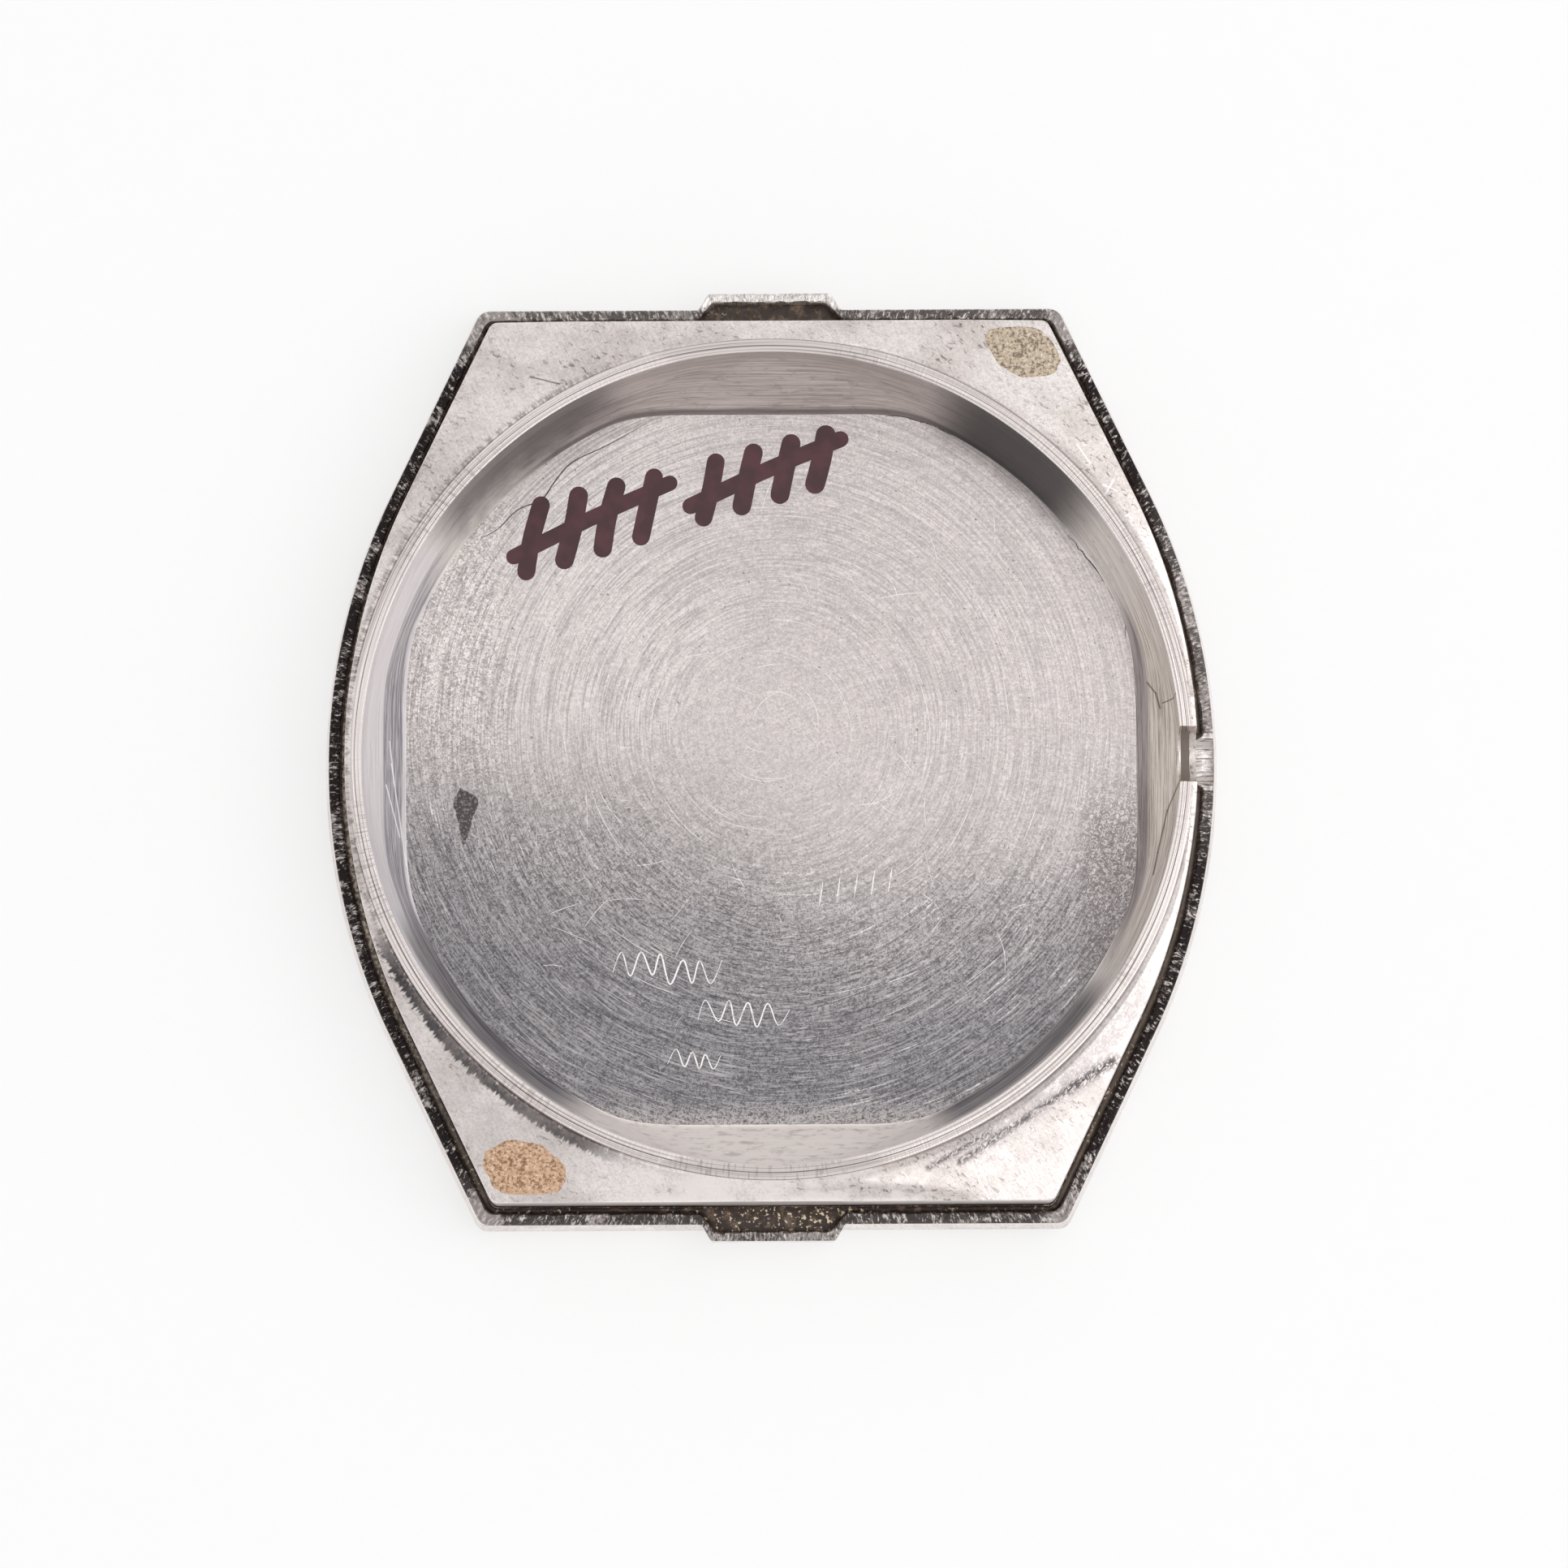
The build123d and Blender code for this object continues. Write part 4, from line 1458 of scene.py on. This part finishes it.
@dataclass
class GrooveResidue:
    """Grease and dirt packed hard in the groove and in both pry pockets."""

    sizes: CaseSizes
    station_count: int = 2304
    gap: float = 0.02

    def build(self) -> bpy.types.Object:
        """Build and dress the dirt."""
        s = self.sizes
        angles, place = s.stations(self.station_count, True)
        perimeter = place[-1] + place[1]
        spun = Spun(angles)
        recess = s.frame_inset - s.seat_clearance

        def outline(share: float) -> Array:
            """Outline across the bead: 0 at the frame's side, 1 at the rim's."""
            inner = s.outline.radius(angles, recess - self.gap, s.frame_corner)
            outer = s.outline.radius(angles, s.rim_wall + self.gap, s.rim_corner)
            outer = s.pocket.widen(angles, outer, s.pocket.wall + self.gap)
            return inner + (outer - inner) * share

        spun.ring(outline(0.0), s.groove_floor + 0.002)
        spun.ring(outline(1.0), s.groove_floor + 0.002)
        high = s.residue_top - s.groove_floor
        shares = (1.0, 0.93, 0.82, 0.68, 0.54, 0.40, 0.27, 0.14, 0.05)
        for share in shares:
            radius = outline(share)
            x, y = radius * np.cos(angles), radius * np.sin(angles)
            rough = 0.5 * lumps(x, y, 0.45, 7) + 0.5 * lumps(x, y, 0.16, 8)
            swell = 0.55 + 0.45 * wander(place, perimeter, 2.3, 9)
            crown = 0.45 + 0.55 * math.sin(math.pi * share)
            z = s.groove_floor + high * crown * np.clip(0.45 + 0.35 * swell + 0.35 * rough, 0.08, 1.15)
            under_saddle = (x > 0) & (np.abs(y) < s.notch_radius + 0.05)
            z = np.where(under_saddle, np.minimum(z, s.groove_floor + 0.02), z)
            spun.add(x, y, z)
        spun.ring(outline(0.0), s.groove_floor + 0.03)
        made = spun.build("groove_dirt", closed=True)
        dress(made, PackedDirt().material())
        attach(made, "shell")
        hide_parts("groove_residue")
        return made


@dataclass
class AdhesiveDot:
    """Dried dab of dial adhesive on a corner face."""

    name: str
    node: str
    frame: MovementFrame
    centre: tuple[float, float]
    radii: tuple[float, float]
    finish: DriedAdhesive
    flat_side: float
    seed: int
    thickness: float = 0.11
    skew: float = 0.28

    def on_face(self, x: Array, y: Array) -> tuple[Array, Array]:
        """Pull points back onto the frame's face, clear of its outer bevel.

        Args:
            x: places along X.
            y: places along Y.

        Returns:
            The places, moved in where they were past the bevel.
        """
        s = self.frame.sizes
        angle, radius = np.arctan2(y, x), np.hypot(x, y)
        limit = s.outline.radius(angle, s.frame_inset + self.frame.bevel + 0.03, s.frame_corner)
        share = np.minimum(1.0, limit / radius)
        return x * share, y * share

    def build(self) -> bpy.types.Object:
        """Build and dress the dab."""
        around, out = 120, 26
        turn = np.arange(around) / around * 2 * math.pi
        c, t = np.cos(turn), np.sin(turn)
        broad = wander(turn, 2 * math.pi, 0.7, self.seed)
        narrow = wander(turn, 2 * math.pi, 0.18, self.seed + 1)
        wobble = 1 + 0.07 * broad + 0.03 * narrow
        reach_y = np.where(t * self.flat_side > 0, 0.80, 1.05)
        power = np.where(t * self.flat_side > 0, 1.6, 1.05)
        reach = wobble / (np.abs(c) ** (2 * power) + np.abs(t) ** (2 * power)) ** (0.5 / power)
        rows: list[Array] = []
        for k in range(1, out + 1):
            share = k / out
            y = self.centre[1] + self.radii[1] * share * reach * reach_y * t
            x = self.centre[0] + self.radii[0] * share * reach * c - self.skew * (y - self.centre[1])
            x, y = self.on_face(x, y)
            grain = 0.55 * lumps(x, y, 0.12, self.seed + 2) + 0.45 * lumps(x, y, 0.30, self.seed + 3)
            body = (1 - share**6) * (0.62 + 0.42 * grain)
            rows.append(np.stack([x, y, self.frame.face_height(x, y) + self.thickness * body], axis=1))
        under = rows[-1] - (0, 0, 0.01)
        base = self.frame.face_height(np.array([self.centre[0]]), np.array([self.centre[1]]))[0]
        middle = np.array([[*self.centre, base + self.thickness * 0.6]])
        points = np.concatenate([*rows, under, middle])
        faces: list[tuple[int, ...]] = []
        top = len(points) - 1
        for i in range(around):
            j = (i + 1) % around
            faces.append((top, i, j))
            for k in range(out):
                a, b = k * around, (k + 1) * around
                faces.append((a + i, b + i, b + j, a + j))
        faces.append(tuple(out * around + i for i in reversed(range(around))))
        made = mesh_piece(self.name, points, faces, 75)
        dress(made, self.finish.material())
        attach(made, "frame")
        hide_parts(self.node)
        return made


def ribbon(
    path: Sequence[tuple[float, float]], width: float, level: float, taper: bool, first: int
) -> tuple[list[tuple[float, float, float]], list[tuple[int, ...]]]:
    """Flat closed strip along a path on the plan.

    Args:
        path: points of the strip's middle line.
        width: the strip's width.
        level: height of its top.
        taper: thin the strip out to both ends, instead of rounding them off.
        first: number of the first vertex.

    Returns:
        Vertices and faces.
    """
    line = np.array(path, dtype=float)
    ahead = np.gradient(line, axis=0)
    ahead /= np.maximum(np.linalg.norm(ahead, axis=1, keepdims=True), 1e-9)
    side = np.stack([-ahead[:, 1], ahead[:, 0]], axis=1)
    share = np.linspace(0, 1, len(line))
    half = np.full(len(line), width / 2)
    if taper:
        half = half * np.clip(4 * share * (1 - share), 0.12, 1) ** 0.5
    left, right = line + side * half[:, None], line - side * half[:, None]
    rim = list(left)
    if not taper:
        turn = np.linspace(0, math.pi, 9)[1:-1]
        for a in turn:
            rim.append(line[-1] + width / 2 * (math.cos(a) * side[-1] + math.sin(a) * ahead[-1]))
    rim += list(right[::-1])
    if not taper:
        for a in turn:
            rim.append(line[0] - width / 2 * (math.cos(a) * side[0] + math.sin(a) * ahead[0]))
    n = len(rim)
    foot = 0.004
    vertices = [(p[0], p[1], level) for p in rim] + [(p[0], p[1], level - foot) for p in rim]
    top = tuple(first + i for i in range(n))
    area = sum(rim[i][0] * rim[(i + 1) % n][1] - rim[(i + 1) % n][0] * rim[i][1] for i in range(n))
    order = top if area > 0 else tuple(reversed(top))
    faces = [order, tuple(v + n for v in reversed(order))]
    for k in range(n):
        a, b = order[k], order[(k + 1) % n]
        faces.append((b, a, a + n, b + n))
    return vertices, faces


@dataclass
class Film:
    """Thin flat strips, gathered for one mesh."""

    vertices: list[tuple[float, float, float]] = field(default_factory=list)
    faces: list[tuple[int, ...]] = field(default_factory=list)

    def add(self, path: Sequence[tuple[float, float]], width: float, level: float, taper: bool) -> None:
        """Add one strip.

        Args:
            path: points of its middle line.
            width: its width.
            level: height of its top.
            taper: thin it out to both ends.
        """
        vertices, faces = ribbon(path, width, level, taper, len(self.vertices))
        self.vertices += vertices
        self.faces += faces

    def mesh(self, name: str) -> bpy.types.Object:
        """Make the strips one mesh object."""
        return mesh_piece(name, np.array(self.vertices), self.faces)


def curved(points: Sequence[tuple[float, float]], count: int) -> list[tuple[float, float]]:
    """Smooth path through a few points.

    Args:
        points: the points it goes through.
        count: how many steps between two of them.

    Returns:
        The path's points.
    """
    p = [points[0], *points, points[-1]]
    out: list[tuple[float, float]] = []
    for a, b, c, d in zip(p, p[1:], p[2:], p[3:]):
        for k in range(count):
            t = k / count
            out.append(
                tuple(
                    0.5 * (2 * b[i] + (c[i] - a[i]) * t + (2 * a[i] - 5 * b[i] + 4 * c[i] - d[i]) * t**2
                           + (3 * b[i] - a[i] - 3 * c[i] + d[i]) * t**3)
                    for i in (0, 1)
                )
            )
    out.append(tuple(points[-1]))
    return out


@dataclass
class InkMark:
    """Owner's marker strokes on the floor: two groups of tally strokes on a rising line."""

    sizes: CaseSizes
    start: tuple[float, float] = (-7.75, 7.35)
    end: tuple[float, float] = (1.95, 10.0)
    stroke: float = 0.60
    tallest: float = 2.20
    shortest: float = 1.60
    film: float = 0.010
    uprights: tuple[float, ...] = (0.02, 0.145, 0.27, 0.395, 0.60, 0.725, 0.85, 0.965)
    slashes: tuple[tuple[float, float], ...] = ((-0.035, 0.455), (0.545, 1.02))

    def build(self) -> bpy.types.Object:
        """Build and dress the strokes."""
        film = Film()
        rng = np.random.default_rng(3)
        run = Vector(self.end) - Vector(self.start)
        ahead = run.normalized()
        lean = Vector((0.22, 1.0)).normalized()
        strokes = [(p, p, False) for p in self.uprights] + [(a, b, True) for a, b in self.slashes]
        for k, (left, right, slash) in enumerate(strokes):
            tall = self.tallest + (self.shortest - self.tallest) * (left + right) / 2
            low = Vector(self.start) + run * left - lean * tall * (0.22 if slash else 0.5)
            high = Vector(self.start) + run * right + lean * tall * (0.30 if slash else 0.5)
            bow = ahead * rng.uniform(-0.08, 0.08) if not slash else lean * 0.07
            path = curved([tuple(low), tuple((low + high) / 2 + bow), tuple(high)], 8)
            level = self.sizes.floor_level + self.film + 0.0006 * k
            width = self.stroke * rng.uniform(0.93, 1.07) * (0.85 if slash else 1.0)
            film.add(path, width, level, False)
        made = film.mesh("ink_mark")
        dress(made, MarkerInk().material())
        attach(made, "shell")
        return made


@dataclass(frozen=True)
class ScratchedSteel:
    """Bare bright metal in a fresh scratch."""

    name: str
    colour: str
    roughness: float

    def material(self) -> bpy.types.Material:
        """A scratch glints along its length, and breaks up where the point skipped."""
        p = Painter(self.name)
        skip = p.noise(p.stretched(0.25, 0.25, 0.25), 2.0, 0.5)
        base = p.mixed(self.colour, "#b9b1ae", p.math("MULTIPLY", p.ramp(skip, 0.52, 0.66), 0.6))
        return p.finish(base, self.roughness, 1.0, skip, 0.002)


@dataclass
class FloorScratches:
    """Scribed and accidental scratches on the floor, as fine strips of bright metal."""

    sizes: CaseSizes
    scribe_width: float = 0.055
    film: float = 0.005

    def paths(self) -> list[tuple[list[tuple[float, float]], float]]:
        """List every scratch as its path and width."""
        rng = np.random.default_rng(17)
        out: list[tuple[list[tuple[float, float]], float]] = []
        # a repairer's scribings: three loose zigzags and a row of ticks that spell nothing
        scribings = ((-5.1, -1.6, -6.2, 1.0, 11), (-2.4, 0.5, -7.7, 0.9, 9), (-3.3, -1.6, -9.2, 0.65, 7))
        for x0, x1, level, tall, turns in scribings:
            zigzag = [
                (
                    x0 + (x1 - x0) * (k + rng.uniform(-0.2, 0.2)) / turns,
                    level - 0.03 * k + (0.5 if k % 2 else -0.5) * tall * rng.uniform(0.55, 1.05),
                )
                for k in range(turns + 1)
            ]
            out.append((curved(zigzag, 6), self.scribe_width * rng.uniform(0.8, 1.0)))
        for k in range(5):
            x, y = 1.5 + 0.55 * k, -4.0 + 0.12 * k
            shape = [(x, y - 0.45), (x + 0.12, y + 0.35 * rng.uniform(0.6, 1.2))]
            out.append((curved(shape, 3), self.scribe_width * 0.7))
        # wear: long arcs from a turning pad, and short random nicks
        for _ in range(90):
            radius, start = rng.uniform(1.0, 11.2), rng.uniform(0, 2 * math.pi)
            sweep = rng.uniform(0.4, 2.2) / radius
            drift = rng.uniform(-0.10, 0.10)
            cx, cy = 0.1 + rng.uniform(-0.4, 0.4), 1.2 + rng.uniform(-0.4, 0.4)
            t = np.linspace(0, 1, 12)
            r = radius + drift * t
            angle = start + sweep * t
            path = list(zip((cx + r * np.cos(angle)).tolist(), (cy + r * np.sin(angle)).tolist()))
            if max(math.hypot(px, py) for px, py in path) < 11.3 and max(abs(py) for _, py in path) < 11.0:
                out.append((path, rng.uniform(0.010, 0.020)))
        for _ in range(70):
            x, y = rng.uniform(-8.5, 8.5, 2)
            turn, length = rng.uniform(0, math.pi), rng.uniform(0.3, 1.5)
            dx, dy = length * math.cos(turn), length * math.sin(turn)
            bow = rng.uniform(-0.08, 0.08)
            shape = [(x, y), (x + dx / 2 - bow * dy, y + dy / 2 + bow * dx), (x + dx, y + dy)]
            out.append((curved(shape, 4), rng.uniform(0.010, 0.018)))
        return out

    def build(self) -> bpy.types.Object:
        """Build and dress the scratches."""
        film = Film()
        for k, (path, width) in enumerate(self.paths()):
            level = self.sizes.floor_level + self.film + 0.00001 * k
            film.add(path, width, level, True)
        made = film.mesh("floor_scratches")
        dress(made, ScratchedSteel("stainless_steel_scratched_bright", "#fbf7f5", 0.45).material())
        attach(made, "shell")
        return made


@dataclass(frozen=True)
class OldVarnish:
    """Dark line of shrunken varnish or oxide."""

    name: str
    colour: str

    def material(self) -> bpy.types.Material:
        """Brown-grey film that thins out in places."""
        p = Painter(self.name)
        thin = p.noise(p.stretched(0.09, 0.09, 0.09), 2.0, 0.7)
        base = p.mixed(self.colour, "#8f8785", p.math("MULTIPLY", p.ramp(thin, 0.48, 0.62), 0.8))
        return p.finish(base, 0.5, 0.2, thin, 0.002)


@dataclass
class VarnishCracks:
    """Hairlines in the old protective varnish on the floor, and one dark spot."""

    sizes: CaseSizes
    width: float = 0.045
    film: float = 0.006
    spot_points: tuple[tuple[float, float], ...] = (
        (-9.90, -0.60), (-9.33, -0.98), (-9.52, -1.62), (-9.78, -2.45), (-9.93, -1.75), (-10.10, -1.10),
    )

    def build(self) -> bpy.types.Object:
        """Build and dress the cracks and the spot."""
        rng = np.random.default_rng(23)
        lines: list[list[tuple[float, float]]] = []
        arc_radius = 12.05
        for start, end in ((72, 40), (38, 20)):
            turn = np.radians(np.linspace(start, end, 22))
            r = arc_radius - 0.35 * np.sin((turn - turn[0]) * 2.2) + rng.uniform(-0.03, 0.03, len(turn))
            r = np.minimum(r, 11.3 / np.maximum(np.cos(turn), np.sin(turn)))
            lines.append([(float(a), float(b)) for a, b in zip(r * np.cos(turn), r * np.sin(turn))])
        upper_left = [(-3.94, 11.1), (-5.2, 10.4), (-6.32, 9.85), (-6.9, 9.2)]
        lower_left = [(-7.3, 8.65), (-8.07, 8.32), (-8.7, 7.7), (-9.26, 7.41)]
        lines.append(curved(upper_left + lower_left, 5))
        film = Film()
        level = self.sizes.floor_level + self.film
        for path in lines:
            film.add(path, self.width, level, True)
        rim = curved([*self.spot_points, self.spot_points[0]], 6)[:-1]
        rim = [(x + rng.uniform(-0.02, 0.02), y + rng.uniform(-0.02, 0.02)) for x, y in rim]
        area = sum(a[0] * b[1] - b[0] * a[1] for a, b in zip(rim, rim[1:] + rim[:1]))
        rim = rim if area > 0 else rim[::-1]
        first, n = len(film.vertices), len(rim)
        film.vertices += [(x, y, level) for x, y in rim] + [(x, y, level - 0.004) for x, y in rim]
        film.faces.append(tuple(first + i for i in range(n)))
        film.faces.append(tuple(first + n + i for i in reversed(range(n))))
        edges = [(first + i, first + (i + 1) % n) for i in range(n)]
        film.faces += [(b, a, a + n, b + n) for a, b in edges]
        made = film.mesh("varnish_cracks")
        dress(made, OldVarnish("shrunken_varnish", "#4b4444").material())
        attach(made, "shell")
        return made


# ---------------------------------------------------------------- studio


@dataclass
class Studio:
    """White acrylic table, a tent of light all round, one large lamp from the right, and the camera."""

    target: tuple[float, float, float] = (0.40, -0.617, 1.5)
    distance: float = 238.7
    tilt: float = 6.57
    roll: float = -0.264
    field_of_view: float = 11.883
    tent: float = 0.82
    sweep: float = 900.0

    def build(self) -> None:
        """Build the studio."""
        self.table()
        self.world()
        self.lamp("key_lamp", (180, -10, 320), 340, 0.95)
        self.camera()

    def table(self) -> None:
        """Lay the table top under the part, with its far edges curled a little."""
        count = 24
        half = self.sweep / 2
        grid = np.linspace(-half, half, count + 1)
        x, y = np.meshgrid(grid, grid, indexing="ij")
        points = np.stack([x.ravel(), y.ravel(), np.zeros(x.size)], axis=1)
        points[:, 2] = 20 * smoothstep(half * 0.8, half, np.hypot(points[:, 0], points[:, 1]))
        points[:, 2] -= 0.01
        row = count + 1
        faces = [
            (i * row + j, (i + 1) * row + j, (i + 1) * row + j + 1, i * row + j + 1)
            for i in range(count)
            for j in range(count)
        ]
        sheet = mesh_piece("paper_sweep", points, faces)
        dress(sheet, LitAcrylic().material())

    def world(self) -> None:
        """Surround the part with an even tent, a little brighter towards 3 o'clock."""
        world = bpy.data.worlds.new("light_tent")
        world.use_nodes = True
        tree = world.node_tree
        tree.nodes.clear()
        direction = add_node(tree, "ShaderNodeTexCoord").outputs["Generated"]
        split = add_node(tree, "ShaderNodeSeparateXYZ", {0: direction})
        leaning = add_node(
            tree, "ShaderNodeMath", {0: split.outputs[0], 1: 0.10, 2: self.tent}, operation="MULTIPLY_ADD"
        ).outputs[0]
        sky = add_node(tree, "ShaderNodeCombineColor", {0: leaning, 1: leaning, 2: leaning})
        shell = add_node(tree, "ShaderNodeBackground", {"Color": sky.outputs[0], "Strength": 1.0})
        add_node(tree, "ShaderNodeOutputWorld", {"Surface": shell.outputs[0]})
        bpy.context.scene.world = world

    def lamp(self, name: str, place: tuple[float, float, float], size: float, strength: float) -> None:
        """Hang a large soft lamp aimed at the part.

        Args:
            name: the lamp's name.
            place: where it hangs.
            size: its width.
            strength: radiance, relative to a plain white surface.
        """
        data = bpy.data.lights.new(name, "AREA")
        data.shape = "DISK"
        data.size = size * MM
        area = math.pi * (data.size / 2) ** 2
        data.energy = strength * math.pi * area
        made = bpy.data.objects.new(name, data)
        made.location = Vector(place) * MM
        made.rotation_euler = (Vector(place)).to_track_quat("Z", "Y").to_euler()
        bpy.context.scene.collection.objects.link(made)

    def camera(self) -> None:
        """Hang the camera nearly straight above, leaning a little towards 6 o'clock."""
        elevation = math.radians(90 - self.tilt)
        back = Vector((0, -math.cos(elevation), math.sin(elevation)))
        right = Vector((1, 0, 0))
        up = back.cross(right)
        turn = math.radians(self.roll)
        across = right * math.cos(turn) + up * math.sin(turn)
        upward = up * math.cos(turn) - right * math.sin(turn)
        data = bpy.data.cameras.new("camera")
        data.sensor_fit = "HORIZONTAL"
        data.angle = math.radians(self.field_of_view)
        data.clip_start = 0.01
        data.clip_end = 10.0
        made = bpy.data.objects.new("camera", data)
        basis = Matrix((across, upward, back)).transposed().to_4x4()
        place = Vector(self.target) + back * self.distance
        made.matrix_world = Matrix.Translation(place * MM) @ basis
        bpy.context.scene.collection.objects.link(made)
        bpy.context.scene.camera = made


# ---------------------------------------------------------------- main


def main() -> None:
    """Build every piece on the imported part, then the studio."""
    logging.basicConfig(level=logging.INFO, format="%(name)s: %(message)s")
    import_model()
    scene = bpy.context.scene
    scene.view_settings.view_transform = "Standard"
    sizes = CaseSizes.from_frame()
    frame_ring = MovementFrame(sizes)
    upper = DriedAdhesive("dried_adhesive_olive", "#d0bda6", "#847565", "#f1e6d6")
    lower = DriedAdhesive("dried_adhesive_orange", "#d8b293", "#957155", "#f8e0c8")
    pieces = [
        BackShell(sizes),
        frame_ring,
        GrooveResidue(sizes),
        AdhesiveDot(
            "adhesive_dot_upper", "dial_dot_upper", frame_ring, (8.0, 12.98), (1.08, 0.92), upper, 1, 31
        ),
        AdhesiveDot(
            "adhesive_dot_lower", "dial_dot_lower", frame_ring, (-7.78, -12.95), (1.22, 0.92), lower, -1, 51
        ),
        InkMark(sizes),
        FloorScratches(sizes),
        VarnishCracks(sizes),
    ]
    for piece in pieces:
        made = piece.build()
        log.info("%s: %d faces", made.name, len(made.data.polygons))
    Studio().build()


if __name__ == "__main__":
    main()
